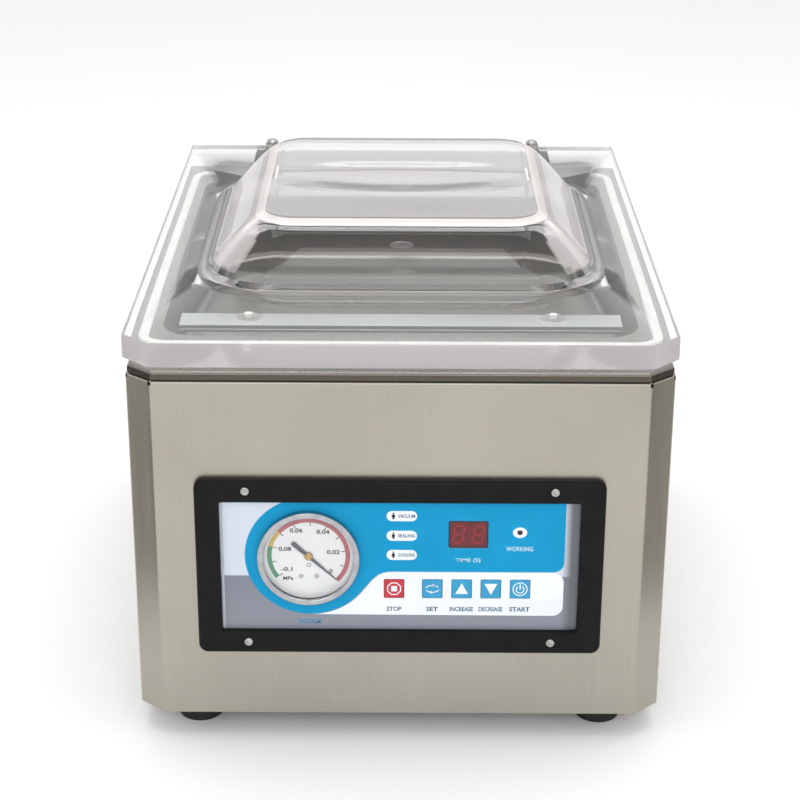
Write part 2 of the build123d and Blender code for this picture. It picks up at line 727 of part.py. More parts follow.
with BuildPart() as hinge_brackets:
    with BuildSketch(facing_front(back_y + bracket_thickness)):
        for side in (-1, 1):
            with Locations((side * (bracket_outer + bracket_inner) / 2, (bracket_low + bracket_high) / 2)):
                RectangleRounded(bracket_outer - bracket_inner, bracket_high - bracket_low, 2)
        with Locations(*bracket_screw_places):
            Circle(2.1, mode=Mode.SUBTRACT)
    extrude(amount=bracket_thickness)
    for x in (-bracket_outer, bracket_outer - bracket_thickness):
        with BuildSketch(across(x)):
            with BuildLine():
                Polyline(
                    (back_y, bracket_low),
                    (hinge_y + 5, hinge_z - ear_radius + 1.5),
                    (hinge_y, hinge_z + ear_radius),
                    (back_y, bracket_high),
                    close=True,
                )
            make_face()
            with Locations((hinge_y, hinge_z)):
                Circle(ear_radius)
                Circle(hinge_shaft_radius + 0.02, mode=Mode.SUBTRACT)
        extrude(amount=bracket_thickness)

hinge_brackets.part.label = "hinge_brackets"
export_step(hinge_brackets.part, "parts/hinge_brackets.step")

with BuildPart() as hinge_shaft:
    with BuildSketch(across(-plate_half - 4)):
        with Locations((hinge_y, hinge_z)):
            Circle(hinge_shaft_radius)
    extrude(amount=2 * plate_half + 8)
    chamfer(hinge_shaft.edges().filter_by(GeomType.CIRCLE), length=0.6)
    for x in (-plate_half - 2.4, plate_half + 0.6):
        with BuildSketch(across(x)):
            with Locations((hinge_y, hinge_z)):
                Circle(6.5)
        extrude(amount=1.8)

hinge_shaft.part.label = "hinge_shaft"
export_step(hinge_shaft.part, "parts/hinge_shaft.step")

torsion_radius = 6.6
torsion_wire = 1.0
torsion_length = 17.0
torsion_coil = coil_spring(torsion_radius, torsion_wire, torsion_length, 7)

with BuildPart() as torsion_springs:
    for x in (-bracket_inner - torsion_length - 3, bracket_inner + 3):
        coil_place = Plane((x, hinge_y, hinge_z), x_dir=(0, 0, 1), z_dir=(1, 0, 0))
        add(coil_place * torsion_coil)
        lid_leg = Plane((x + torsion_wire, hinge_y + 1, hinge_z + torsion_radius), z_dir=(0, -1, 0.24))
        add(lid_leg * Cylinder(torsion_wire, 17.5, align=(Align.CENTER, Align.CENTER, Align.MIN), mode=Mode.PRIVATE))
        panel_leg = Plane((x + torsion_length - torsion_wire, hinge_y + 1, hinge_z - torsion_radius), z_dir=(0, -1, 0))
        add(panel_leg * Cylinder(torsion_wire, 13.5, align=(Align.CENTER, Align.CENTER, Align.MIN), mode=Mode.PRIVATE))

torsion_springs.part.label = "torsion_springs"
export_step(torsion_springs.part, "parts/torsion_springs.step")

# ================================================================ control panel
panel_recess = 4.0
panel_thickness = panel_proud - panel_recess
panel_face = front_y - panel_thickness
panel_z = panel_window_z
bezel_width = 246.6
bezel_height = 116.2
bezel_corner = 5.8
bezel_z = casing_bottom + 103.4
rebate_width = 225.0
rebate_height = 95.0

gauge_x = -55.3
gauge_z = casing_bottom + 109.6
gauge_case_radius = 30.0
key_width = 12.0
key_height = 12.4
key_gap = 0.3
key_z = casing_bottom + 88.3
key_places = {"key_stop": -3.4, "key_set": 19.9, "key_up": 37.8, "key_down": 55.6, "key_start": 73.4}
key_travel = 0.5
key_proud = 0.2
display_x = 41.35
display_z = casing_bottom + 125.0
display_width = 24.0
display_height = 18.3
step_led_places = [(-3.9, casing_bottom + height) for height in (137.2, 124.1, 111.2)]
working_led_place = (72.4, casing_bottom + 126.5)

with BuildPart() as panel_bezel:
    with BuildSketch(facing_front(front_y)):
        with Locations((0, bezel_z)):
            RectangleRounded(bezel_width, bezel_height, bezel_corner)
    extrude(amount=panel_proud)
    fillet(panel_bezel.faces().sort_by(Axis.Y)[0].edges(), radius=2.2)
    with BuildSketch(facing_front(front_y)):
        with Locations((0, panel_z)):
            RectangleRounded(panel_window_width, panel_window_height, 1.5)
    extrude(amount=panel_proud, mode=Mode.SUBTRACT)
    chamfer(panel_bezel.faces().sort_by(Axis.Y)[0].inner_wires()[0].edges(), length=0.6)
    with BuildSketch(facing_front(front_y)):
        with Locations((0, panel_z)):
            RectangleRounded(rebate_width, rebate_height, 2.5)
    extrude(amount=panel_thickness, mode=Mode.SUBTRACT)
    with BuildSketch(facing_front(front_y)):
        with Locations(*bezel_screw_places):
            Circle(1.7)
    extrude(amount=panel_proud, mode=Mode.SUBTRACT)
    with BuildSketch(facing_front(front_y - panel_proud + 1.2)):
        with Locations(*bezel_screw_places):
            Circle(3.1)
    extrude(amount=2, mode=Mode.SUBTRACT)

panel_bezel.part.label = "panel_bezel"
export_step(panel_bezel.part, "parts/panel_bezel.step")

bezel_screw = pan_screw(1.5, 2.8, 1.6, panel_proud + 2.5)
with BuildPart() as bezel_screws:
    for x, z in bezel_screw_places:
        add(Plane((x, front_y - panel_proud + 1.2, z), z_dir=(0, -1, 0)) * bezel_screw)

bezel_screws.part.label = "bezel_screws"
export_step(bezel_screws.part, "parts/bezel_screws.step")

with BuildPart() as panel_plate:
    with BuildSketch(facing_front(front_y)):
        with Locations((0, panel_z)):
            RectangleRounded(rebate_width - 0.4, rebate_height - 0.4, 2.3)
        with Locations((gauge_x, gauge_z)):
            Circle(gauge_case_radius + 0.3, mode=Mode.SUBTRACT)
        with Locations((display_x, display_z)):
            RectangleRounded(display_width, display_height, 1.0, mode=Mode.SUBTRACT)
        with Locations(*step_led_places):
            Circle(1.1, mode=Mode.SUBTRACT)
        with Locations(working_led_place):
            Circle(1.7, mode=Mode.SUBTRACT)
        with Locations(*[(x, key_z) for x in key_places.values()]):
            RectangleRounded(key_width + 2 * key_gap, key_height + 2 * key_gap, 0.8, mode=Mode.SUBTRACT)
    extrude(amount=panel_thickness)

panel_plate.part.label = "panel_plate"
export_step(panel_plate.part, "parts/panel_plate.step")

board_y = from_front(8.0)
board_x = 40.0
board_thickness = 1.6
switch_front = from_front(4.2)
stem_back = switch_front - key_travel - 0.1
standoff_places = [(board_x + dx, panel_z + dz) for dx in (-54, 54) for dz in (-36, 36)]

for name, x in key_places.items():
    with BuildPart() as key:
        with BuildSketch(facing_front(panel_face + 1.0)):
            with Locations((x, key_z)):
                RectangleRounded(key_width, key_height, 0.6)
        extrude(amount=1.0 + key_proud)
        fillet(key.faces().sort_by(Axis.Y)[0].edges(), radius=0.15)
        with BuildSketch(facing_front(stem_back)):
            with Locations((x, key_z)):
                Circle(2.0)
        extrude(amount=stem_back - panel_face - 1.0)
    key.part.label = name
    export_step(key.part, f"parts/{name}.step")

with BuildPart() as control_board:
    with BuildSketch(facing_front(board_y + board_thickness)):
        with Locations((board_x, panel_z)):
            RectangleRounded(116, 80, 1.5)
    extrude(amount=board_thickness)
    with BuildSketch(facing_front(board_y)):
        with Locations(*[(x, key_z) for x in key_places.values()]):
            Rectangle(6, 6)
    extrude(amount=board_y - switch_front - 0.6)
    with BuildSketch(facing_front(board_y)):
        with Locations(*[(x, key_z) for x in key_places.values()]):
            Circle(1.7)
    extrude(amount=board_y - switch_front)
    with BuildSketch(facing_front(board_y)):
        with Locations(*standoff_places):
            Circle(2.5)
    extrude(amount=board_y - front_y)
    with BuildSketch(facing_front(board_y + board_thickness + 9)):
        with Locations((board_x, panel_z - 28)):
            Rectangle(70, 9)
        with Locations((board_x - 20, panel_z + 12)):
            Rectangle(26, 12)
        with Locations((board_x + 30, panel_z + 10)):
            Rectangle(18, 18)
    extrude(amount=9)

control_board.part.label = "control_board"
export_step(control_board.part, "parts/control_board.step")

with BuildPart() as display_module:
    with BuildSketch(facing_front(board_y)):
        with Locations((display_x, display_z)):
            RectangleRounded(display_width - 0.3, display_height - 0.3, 0.9)
    extrude(amount=board_y - panel_face - 0.3)

display_module.part.label = "display_module"
export_step(display_module.part, "parts/display_module.step")

with BuildPart() as indicator_leds:
    with BuildSketch(facing_front(board_y)):
        with Locations(*step_led_places):
            Circle(1.0)
        with Locations(working_led_place):
            Circle(1.5)
    extrude(amount=board_y - panel_face + 0.3)
    fillet(indicator_leds.faces().filter_by(Axis.Y).group_by(Axis.Y)[0].edges(), radius=0.6)

indicator_leds.part.label = "indicator_leds"
export_step(indicator_leds.part, "parts/indicator_leds.step")

# Vacuum gauge: cup with its socket, rolled front ring, lens, dial and needle.
gauge_front = front_y - gauge_proud
ring_lip = 1.3
lens_thickness = 1.4
cup_wall = 1.0
cup_back = from_front(24.0)
needle_reach = 23.4
needle_tail = 12.2
needle_thickness = 0.5
needle_front = gauge_front + ring_lip + lens_thickness + 2.6
dial_front = needle_front + needle_thickness + 0.6
gauge_axis = Plane((gauge_x, gauge_front, gauge_z), x_dir=(1, 0, 0), z_dir=(0, -1, 0))

with BuildPart() as gauge_case:
    with BuildSketch(facing_front(cup_back)):
        with Locations((gauge_x, gauge_z)):
            Circle(gauge_case_radius)
    extrude(amount=cup_back - gauge_front - ring_lip)
    with BuildSketch(facing_front(cup_back - cup_wall)):
        with Locations((gauge_x, gauge_z)):
            Circle(gauge_case_radius - cup_wall)
    extrude(amount=cup_back - gauge_front, mode=Mode.SUBTRACT)
    with BuildSketch(facing_front(cup_back + 14)):
        with Locations((gauge_x, gauge_z)):
            RectangleRounded(14, 14, 1)
    extrude(amount=14)
    with BuildSketch(facing_front(cup_back + 26)):
        with Locations((gauge_x, gauge_z)):
            Circle(5)
    extrude(amount=12)

gauge_case.part.label = "gauge_case"
export_step(gauge_case.part, "parts/gauge_case.step")

with BuildPart() as gauge_ring:
    with BuildSketch(facing_front(panel_face)):
        with Locations((gauge_x, gauge_z)):
            Circle(31.0)
            Circle(gauge_case_radius + 0.05, mode=Mode.SUBTRACT)
    extrude(amount=panel_face - gauge_front)
    with BuildSketch(facing_front(gauge_front + ring_lip)):
        with Locations((gauge_x, gauge_z)):
            Circle(30.5)
            Circle(27.4, mode=Mode.SUBTRACT)
    extrude(amount=ring_lip)
    fillet(gauge_ring.faces().sort_by(Axis.Y)[0].edges(), radius=0.6)

gauge_ring.part.label = "gauge_ring"
export_step(gauge_ring.part, "parts/gauge_ring.step")

with BuildPart() as gauge_lens:
    with BuildSketch(facing_front(gauge_front + ring_lip + lens_thickness)):
        with Locations((gauge_x, gauge_z)):
            Circle(gauge_case_radius - cup_wall - 0.2)
    extrude(amount=lens_thickness)

gauge_lens.part.label = "gauge_lens"
export_step(gauge_lens.part, "parts/gauge_lens.step")

with BuildPart() as gauge_dial:
    with BuildSketch(facing_front(dial_front + 0.6)):
        with Locations((gauge_x, gauge_z)):
            Circle(gauge_case_radius - cup_wall - 0.2)
            Circle(1.3, mode=Mode.SUBTRACT)
    extrude(amount=0.6)

gauge_dial.part.label = "gauge_dial"
export_step(gauge_dial.part, "parts/gauge_dial.step")

# The needle points at zero, low on the dial's right, with its broad tail on the other side.
needle_angle = -43.0
with BuildPart() as gauge_needle:
    with BuildSketch(Plane(gauge_axis.origin, x_dir=gauge_axis.x_dir, z_dir=gauge_axis.z_dir)
                     .offset(-(needle_front - gauge_front) - needle_thickness)):
        with Locations(Rot(0, 0, needle_angle)):
            Polygon((-needle_tail, -1.5), (0, -1.1), (needle_reach, -0.25), (needle_reach, 0.25), (0, 1.1),
                    (-needle_tail, 1.5), align=None)
        with Locations((-needle_tail * math.cos(math.radians(needle_angle)),
                        -needle_tail * math.sin(math.radians(needle_angle)))):
            Circle(1.5)
        Circle(2.7)
    extrude(amount=needle_thickness)
    with BuildSketch(facing_front(from_front(3.0))):
        with Locations((gauge_x, gauge_z)):
            Circle(0.8)
    extrude(amount=from_front(3.0) - needle_front - needle_thickness / 2)

gauge_needle.part.label = "gauge_needle"
export_step(gauge_needle.part, "parts/gauge_needle.step")

# ================================================================ back panel fittings
with BuildPart() as power_inlet:
    with BuildSketch(facing_front(back_y + 2.5)):
        with Locations((inlet_x, inlet_z)):
            RectangleRounded(48, 24, 4)
    extrude(amount=2.5)
    with BuildSketch(facing_front(back_y)):
        with Locations((inlet_x, inlet_z)):
            Rectangle(27.2, 20.0)
    extrude(amount=22)
    with BuildSketch(facing_front(back_y + 2.5)):
        with Locations((inlet_x, inlet_z)):
            RectangleRounded(24.5, 16.5, 3)
    extrude(amount=18, mode=Mode.SUBTRACT)
    with BuildSketch(facing_front(back_y - 3)):
        with Locations((inlet_x - 7, inlet_z - 2), (inlet_x + 7, inlet_z - 2), (inlet_x, inlet_z + 3)):
            Rectangle(2, 5)
    extrude(amount=14)

power_inlet.part.label = "power_inlet"
export_step(power_inlet.part, "parts/power_inlet.step")

rocker_z = switch_z
rocker_width = 20.0
rocker_radius = 8.5
rocker_axis_y = back_y - 3.0
rocker_tilt = 7.0           # off position; on is as far the other way
dish_reach = 16.5

with BuildPart() as switch_frame:
    with BuildSketch(facing_front(back_y + 2.0)):
        with Locations((switch_x, switch_z)):
            RectangleRounded(31, 25, 2)
    extrude(amount=2.0)
    with BuildSketch(facing_front(back_y)):
        with Locations((switch_x, switch_z)):
            Rectangle(26.6, 20.6)
    extrude(amount=20)
    with BuildSketch(facing_front(back_y + 3.0)):
        with Locations((switch_x, switch_z)):
            Rectangle(rocker_width + 1.2, 18.0)
    extrude(amount=16, mode=Mode.SUBTRACT)

switch_frame.part.label = "switch_frame"
export_step(switch_frame.part, "parts/switch_frame.step")

with BuildPart() as power_rocker:
    with BuildSketch(across(switch_x - rocker_width / 2)):
        with Locations((rocker_axis_y, rocker_z)):
            Circle(rocker_radius)
        with Locations((rocker_axis_y + dish_reach, rocker_z - dish_reach * math.sin(math.radians(rocker_tilt)))):
            Circle(12.0, mode=Mode.SUBTRACT)
    extrude(amount=rocker_width)
    fillet(power_rocker.edges().filter_by(Axis.X), radius=0.5)

power_rocker.part.label = "power_rocker"
export_step(power_rocker.part, "parts/power_rocker.step")

# ================================================================ vacuum pump and its motor
mount_height = 12.0
pump_bottom = base_top + mount_height
pump_size = 116.0
pump_axis_z = pump_bottom + pump_size / 2
pump_front = from_front(235.0)
pump_back = from_front(325.0)
bore_front = pump_front + 10.0
bore_radius = 34.0
rotor_radius = 30.0
bore_drop = 3.7             # the rotor's axis is this far above the bore's, so they nearly meet at the top
shaft_radius = 7.0
inlet_place = (pump_x + 40, from_front(300.0))
inlet_height = 11.0
inlet_end = from_front(318.0)
filter_place = (pump_x - 26, from_front(288.0))
sight_place = (pump_x + 33, pump_axis_z - 34)
motor_front = from_front(112.0)
motor_radius = 50.0
motor_bore = 46.0
fin_height = 4.0
stator_front = from_front(126.0)
stator_back = from_front(214.0)
stator_bore = 28.0
fan_front = from_front(92.0)
cowl_front = from_front(84.0)
cowl_radius = 55.5
end_gap = 0.3

with BuildPart() as pump_mounts:
    with Locations(*[(x, y, base_top) for x, y in mount_places]):
        Cylinder(10.0, mount_height, align=(Align.CENTER, Align.CENTER, Align.MIN))
    with Locations(*[(x, y, casing_bottom + 0.2) for x, y in mount_places]):
        Cylinder(2.6, mount_height, align=(Align.CENTER, Align.CENTER, Align.MIN))

pump_mounts.part.label = "pump_mounts"
export_step(pump_mounts.part, "parts/pump_mounts.step")

with BuildPart() as pump_casing:
    with BuildSketch(facing_front(pump_back)):
        with Locations((pump_x, pump_axis_z)):
            RectangleRounded(pump_size, pump_size, 10)
    extrude(amount=pump_back - pump_front)
    with BuildSketch(across(pump_x - pump_size / 2 - 1)):
        with Locations(((pump_front + pump_back) / 2, pump_axis_z + 6)):
            with GridLocations(0, 9, 1, 8):
                Rectangle(pump_back - pump_front - 16, 3)
    extrude(amount=7, mode=Mode.SUBTRACT)
    with BuildSketch(across(pump_x + pump_size / 2 - 6)):
        with Locations(((pump_front + pump_back) / 2, pump_axis_z + 6)):
            with GridLocations(0, 9, 1, 8):
                Rectangle(pump_back - pump_front - 16, 3)
    extrude(amount=7, mode=Mode.SUBTRACT)
    with BuildSketch(Plane.XY.offset(pump_axis_z + pump_size / 2 - 2)):
        with Locations(inlet_place):
            Circle(9)
    extrude(amount=inlet_height + 11)
    with BuildSketch(facing_front(inlet_end)):
        with Locations((inlet_place[0], pump_axis_z + pump_size / 2 + inlet_height)):
            Circle(7)
    extrude(amount=inlet_end - inlet_place[1])
    with BuildSketch(facing_front(pump_back)):
        with Locations((pump_x, pump_axis_z - bore_drop)):
            Circle(bore_radius)
    extrude(amount=pump_back - bore_front, mode=Mode.SUBTRACT)
    with BuildSketch(facing_front(pump_back)):
        with Locations((pump_x, pump_axis_z)):
            Circle(shaft_radius + running_gap)
    extrude(amount=pump_back - pump_front + 1, mode=Mode.SUBTRACT)

pump_casing.part.label = "pump_casing"
export_step(pump_casing.part, "parts/pump_casing.step")

with BuildPart() as pump_cover:
    with BuildSketch(facing_front(pump_back + 10)):
        with Locations((pump_x, pump_axis_z)):
            RectangleRounded(pump_size, pump_size, 10)
    extrude(amount=10)
    with BuildSketch(facing_front(pump_back + 13)):
        with Locations((pump_x, pump_axis_z)):
            with GridLocations(pump_size - 18, pump_size - 18, 2, 2):
                Circle(4.5)
            Circle(16)
    extrude(amount=4)
    fillet(pump_cover.faces().sort_by(Axis.Y)[-1].edges(), radius=1.0)
    with BuildSketch(facing_front(pump_back + 7)):
        with Locations((pump_x, pump_axis_z)):
            Circle(shaft_radius + running_gap)
    extrude(amount=8, mode=Mode.SUBTRACT)

pump_cover.part.label = "pump_cover"
export_step(pump_cover.part, "parts/pump_cover.step")

with BuildPart() as oil_sight_glass:
    with BuildSketch(facing_front(pump_back + 16)):
        with Locations(sight_place):
            Circle(11)
    extrude(amount=6)
    chamfer(oil_sight_glass.faces().sort_by(Axis.Y)[-1].edges(), length=1.2)
    with BuildSketch(facing_front(pump_back + 17)):
        with Locations(sight_place):
            Circle(7)
    extrude(amount=2.5, mode=Mode.SUBTRACT)

oil_sight_glass.part.label = "oil_sight_glass"
export_step(oil_sight_glass.part, "parts/oil_sight_glass.step")

with BuildPart() as exhaust_filter:
    with Locations((*filter_place, pump_axis_z + pump_size / 2)):
        Cylinder(19, 34, align=(Align.CENTER, Align.CENTER, Align.MIN))
    fillet(exhaust_filter.faces().sort_by(Axis.Z)[-1].edges(), radius=4)
    with Locations((*filter_place, pump_axis_z + pump_size / 2 + 15)):
        with PolarLocations(19, 16):
            Box(5, 2.5, 16, mode=Mode.SUBTRACT)

exhaust_filter.part.label = "exhaust_filter"
export_step(exhaust_filter.part, "parts/exhaust_filter.step")

with BuildPart() as motor_shell:
    with BuildSketch(facing_front(pump_front)):
        with Locations((pump_x, pump_axis_z)):
            Circle(motor_radius)
            with PolarLocations(motor_radius + fin_height / 2 - 0.5, 28, start_angle=-45, angular_range=270):
                Rectangle(fin_height + 1, 2)
    extrude(amount=pump_front - motor_front)
    with BuildSketch(Plane.XY.offset(pump_bottom)):
        with Locations((pump_x, from_front(150))):
            Rectangle(104, 30)
    extrude(amount=12)
    with BuildSketch(Plane.XY.offset(pump_axis_z + motor_radius - 8)):
        with Locations((pump_x, from_front(190))):
            RectangleRounded(46, 50, 4)
    extrude(amount=26)
    with BuildSketch(facing_front(pump_front)):
        with Locations((pump_x, pump_axis_z)):
            Circle(motor_bore)
    extrude(amount=pump_front - motor_front - 4, mode=Mode.SUBTRACT)
    with BuildSketch(facing_front(pump_front)):
        with Locations((pump_x, pump_axis_z)):
            Circle(shaft_radius + running_gap)
    extrude(amount=pump_front - motor_front + 1, mode=Mode.SUBTRACT)

motor_shell.part.label = "motor_shell"
export_step(motor_shell.part, "parts/motor_shell.step")

with BuildPart() as motor_stator:
    with BuildSketch(facing_front(stator_back)):
        with Locations((pump_x, pump_axis_z)):
            Circle(motor_bore - 0.05)
            Circle(stator_bore, mode=Mode.SUBTRACT)
    extrude(amount=stator_back - stator_front)
    with BuildSketch(facing_front(stator_back + 9)):
        with Locations((pump_x, pump_axis_z)):
            Circle(41)
            Circle(31, mode=Mode.SUBTRACT)
    extrude(amount=stator_back - stator_front + 17)

motor_stator.part.label = "motor_stator"
export_step(motor_stator.part, "parts/motor_stator.step")

with BuildPart() as pump_rotor:
    with BuildSketch(facing_front(pump_back + 6)):
        with Locations((pump_x, pump_axis_z)):
            Circle(shaft_radius)
    extrude(amount=pump_back + 6 - fan_front)
    with BuildSketch(facing_front(pump_back - end_gap)):
        with Locations((pump_x, pump_axis_z)):
            Circle(rotor_radius)
            with PolarLocations(rotor_radius - 6, 3):
                Rectangle(13, 3, mode=Mode.SUBTRACT)
    extrude(amount=pump_back - bore_front - 2 * end_gap)
    with BuildSketch(facing_front(stator_back)):
        with Locations((pump_x, pump_axis_z)):
            Circle(stator_bore - 0.4)
    extrude(amount=stator_back - stator_front)

pump_rotor.part.label = "pump_rotor"
export_step(pump_rotor.part, "parts/pump_rotor.step")

with BuildPart() as cooling_fan:
    with BuildSketch(facing_front(fan_front + 16)):
        with Locations((pump_x, pump_axis_z)):
            Circle(14)
    extrude(amount=16)
    with BuildSketch(facing_front(fan_front + 14)):
        with Locations((pump_x, pump_axis_z)):
            with PolarLocations(27.5, 7):
                Rectangle(31, 2)
    extrude(amount=12)
    with BuildSketch(facing_front(fan_front + 16)):
        with Locations((pump_x, pump_axis_z)):
            Circle(shaft_radius + 0.02)
    extrude(amount=17, mode=Mode.SUBTRACT)

cooling_fan.part.label = "cooling_fan"
export_step(cooling_fan.part, "parts/cooling_fan.step")

with BuildPart() as fan_cowl:
    with BuildSketch(facing_front(motor_front + 6)):
        with Locations((pump_x, pump_axis_z)):
            Circle(cowl_radius)
    extrude(amount=motor_front + 6 - cowl_front)
    fillet(fan_cowl.faces().sort_by(Axis.Y)[0].edges(), radius=4)
    with BuildSketch(facing_front(motor_front + 6)):
        with Locations((pump_x, pump_axis_z)):
            Circle(cowl_radius - sheet)
    extrude(amount=motor_front + 6 - cowl_front - sheet, mode=Mode.SUBTRACT)
    with BuildSketch(facing_front(cowl_front + 3)):
        with Locations((pump_x, pump_axis_z)):
            for ring_radius, count in ((14, 8), (24, 14), (34, 20), (44, 26)):
                with PolarLocations(ring_radius, count):
                    Circle(2.8)
    extrude(amount=5, mode=Mode.SUBTRACT)

fan_cowl.part.label = "fan_cowl"
export_step(fan_cowl.part, "parts/fan_cowl.step")

# ================================================================ hoses, valves and the sealing transformer
def hose(points, radii, outer, inner):
    """Hose along straight runs joined by tangent arcs, at each inner corner one radius."""
    with BuildPart() as tube:
        with BuildLine():
            route = FilletPolyline(*points, radius=radii)
        with BuildSketch(Plane(origin=route @ 0, z_dir=route % 0)):
            Circle(outer)
            Circle(inner, mode=Mode.SUBTRACT)
        sweep()
    return tube.part


pump_inlet_z = pump_axis_z + pump_size / 2 + inlet_height
suction_route = [
    (inlet_place[0], inlet_end, pump_inlet_z),
    (inlet_place[0], from_front(350.0), pump_inlet_z),
    (0, elbow_y, pump_inlet_z + 5),
    (0, elbow_y, elbow_bottom),
]

with BuildPart() as vacuum_hose:
    add(hose(suction_route, [30, 18], 7.0, 4.5))

vacuum_hose.part.label = "vacuum_hose"
export_step(vacuum_hose.part, "parts/vacuum_hose.step")

valve_places = [(22.0, from_front(152.0)), (62.0, from_front(152.0))]
valve_top = cylinder_top
valve_port_y = from_front(138.0)
valve_port_z = valve_top - 10

with BuildPart() as solenoid_valves:
    with Locations(*[(x, y, valve_top) for x, y in valve_places]):
        Box(28, 24, 20, align=(Align.CENTER, Align.CENTER, Align.MAX))
    with Locations(*[(x, y, valve_top - 20) for x, y in valve_places]):
        Cylinder(13, 28, align=(Align.CENTER, Align.CENTER, Align.MAX))
        Box(20, 30, 20, align=(Align.CENTER, Align.CENTER, Align.MAX))
    with BuildSketch(facing_front(valve_port_y + 4)):
        with Locations((valve_places[0][0] - 7, valve_port_z), (valve_places[0][0] + 7, valve_port_z)):
            Circle(4)
    extrude(amount=4)

solenoid_valves.part.label = "solenoid_valves"
export_step(solenoid_valves.part, "parts/solenoid_valves.step")

left_port, right_port = cylinder_places
left_route = [
    (left_port[0], left_port[1], cylinder_bottom),
    (left_port[0], left_port[1], cylinder_bottom - 20),
    (left_port[0] + 34, from_front(76.0), cylinder_bottom - 26),
    (-16, from_front(78.0), cylinder_bottom - 8),
    (valve_places[0][0] - 7, from_front(102.0), valve_port_z - 10),
    (valve_places[0][0] - 7, from_front(124.0), valve_port_z),
    (valve_places[0][0] - 7, valve_port_y, valve_port_z),
]
right_route = [
    (right_port[0], right_port[1], cylinder_bottom),
    (right_port[0], right_port[1], cylinder_bottom - 20),
    (right_port[0] - 26, from_front(80.0), cylinder_bottom - 20),
    (valve_places[0][0] + 14, from_front(100.0), valve_port_z - 14),
    (valve_places[0][0] + 7, from_front(124.0), valve_port_z),
    (valve_places[0][0] + 7, valve_port_y, valve_port_z),
]

with BuildPart() as lift_hoses:
    add(hose(left_route, [14, 20, 24, 14, 14], 3.0, 1.9))
    add(hose(right_route, [12, 14, 14, 14], 3.0, 1.9))

lift_hoses.part.label = "lift_hoses"
export_step(lift_hoses.part, "parts/lift_hoses.step")

transformer_x = 86.0
transformer_y = from_front(285.0)
core_width = 84.0
core_depth = 60.0
core_height = 70.0
core_bottom = base_top + 3
leg_width = 28.0
core_window_width = 14.0
core_window_height = 42.0

with BuildPart() as transformer_core:
    with BuildSketch(facing_front(transformer_y + core_depth / 2)):
        with Locations((transformer_x, core_bottom + core_height / 2)):
            Rectangle(core_width, core_height)
            with GridLocations(leg_width + core_window_width, 0, 2, 1):
                Rectangle(core_window_width, core_window_height, mode=Mode.SUBTRACT)
    extrude(amount=core_depth)
    with BuildSketch(Plane.XY.offset(base_top)):
        with Locations((transformer_x, transformer_y)):
            RectangleRounded(core_width + 24, core_depth - 10, 3)
            with GridLocations(core_width + 14, core_depth - 26, 2, 2):
                Circle(2.5, mode=Mode.SUBTRACT)
    extrude(amount=3)

transformer_core.part.label = "transformer_core"
export_step(transformer_core.part, "parts/transformer_core.step")

coil_wall = core_window_width - 1.0
with BuildPart() as transformer_coils:
    with BuildSketch(Plane.XY.offset(core_bottom + core_height / 2 - core_window_height / 2 + 0.5)):
        with Locations((transformer_x, transformer_y)):
            RectangleRounded(leg_width + 2 * coil_wall, core_depth + 2 * coil_wall, 6)
            Rectangle(leg_width + 0.4, core_depth + 0.4, mode=Mode.SUBTRACT)
    extrude(amount=core_window_height - 1)

transformer_coils.part.label = "transformer_coils"
export_step(transformer_coils.part, "parts/transformer_coils.step")
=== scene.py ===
"""Looks of a table-top chamber vacuum packing machine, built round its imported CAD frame."""

import logging
import math
from dataclasses import dataclass
from enum import Enum
from typing import Any, Iterable, Sequence

import bpy
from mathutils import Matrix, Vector


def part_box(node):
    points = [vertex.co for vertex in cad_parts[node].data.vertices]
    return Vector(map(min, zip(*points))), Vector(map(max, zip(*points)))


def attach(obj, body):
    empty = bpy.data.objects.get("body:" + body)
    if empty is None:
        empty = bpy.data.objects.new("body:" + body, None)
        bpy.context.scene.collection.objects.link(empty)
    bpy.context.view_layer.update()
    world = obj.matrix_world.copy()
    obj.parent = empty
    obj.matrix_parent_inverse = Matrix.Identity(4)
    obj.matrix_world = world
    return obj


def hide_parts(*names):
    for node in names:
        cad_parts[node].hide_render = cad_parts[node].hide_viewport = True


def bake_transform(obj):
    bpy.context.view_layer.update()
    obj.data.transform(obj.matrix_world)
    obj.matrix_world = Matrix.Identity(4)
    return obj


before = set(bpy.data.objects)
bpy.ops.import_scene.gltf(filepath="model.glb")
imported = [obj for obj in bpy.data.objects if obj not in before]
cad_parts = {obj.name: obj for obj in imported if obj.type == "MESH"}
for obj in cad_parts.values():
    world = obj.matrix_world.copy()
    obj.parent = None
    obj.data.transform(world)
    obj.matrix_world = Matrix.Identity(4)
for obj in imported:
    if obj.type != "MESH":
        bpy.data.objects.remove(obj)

LOG = logging.getLogger("vacuum_packer")
MM = 0.001
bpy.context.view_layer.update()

Point2 = tuple[float, float]
Ring = list[tuple[float, float, float]]
Colour = tuple[float, float, float, float]
Tree = bpy.types.NodeTree
Socket = bpy.types.NodeSocket

WHITE: Colour = (1.0, 1.0, 1.0, 1.0)
NOISE_MIDDLE = (0.3, 0.7)  # the part of a noise's range that most of its values fall in


# ------------------------------------------------------------------ small helpers
def to_linear(hex_colour: str) -> Colour:
    """Turn an sRGB hex colour into the linear colour a shader takes.

    Args:
        hex_colour: six hex digits, with or without a leading hash.

    Returns:
        Linear red, green and blue, and an alpha of one.
    """
    digits = hex_colour.lstrip("#")
    channels = [int(digits[i:i + 2], 16) / 255 for i in (0, 2, 4)]
    linear = [c / 12.92 if c <= 0.04045 else ((c + 0.055) / 1.055) ** 2.4 for c in channels]
    return (linear[0], linear[1], linear[2], 1.0)


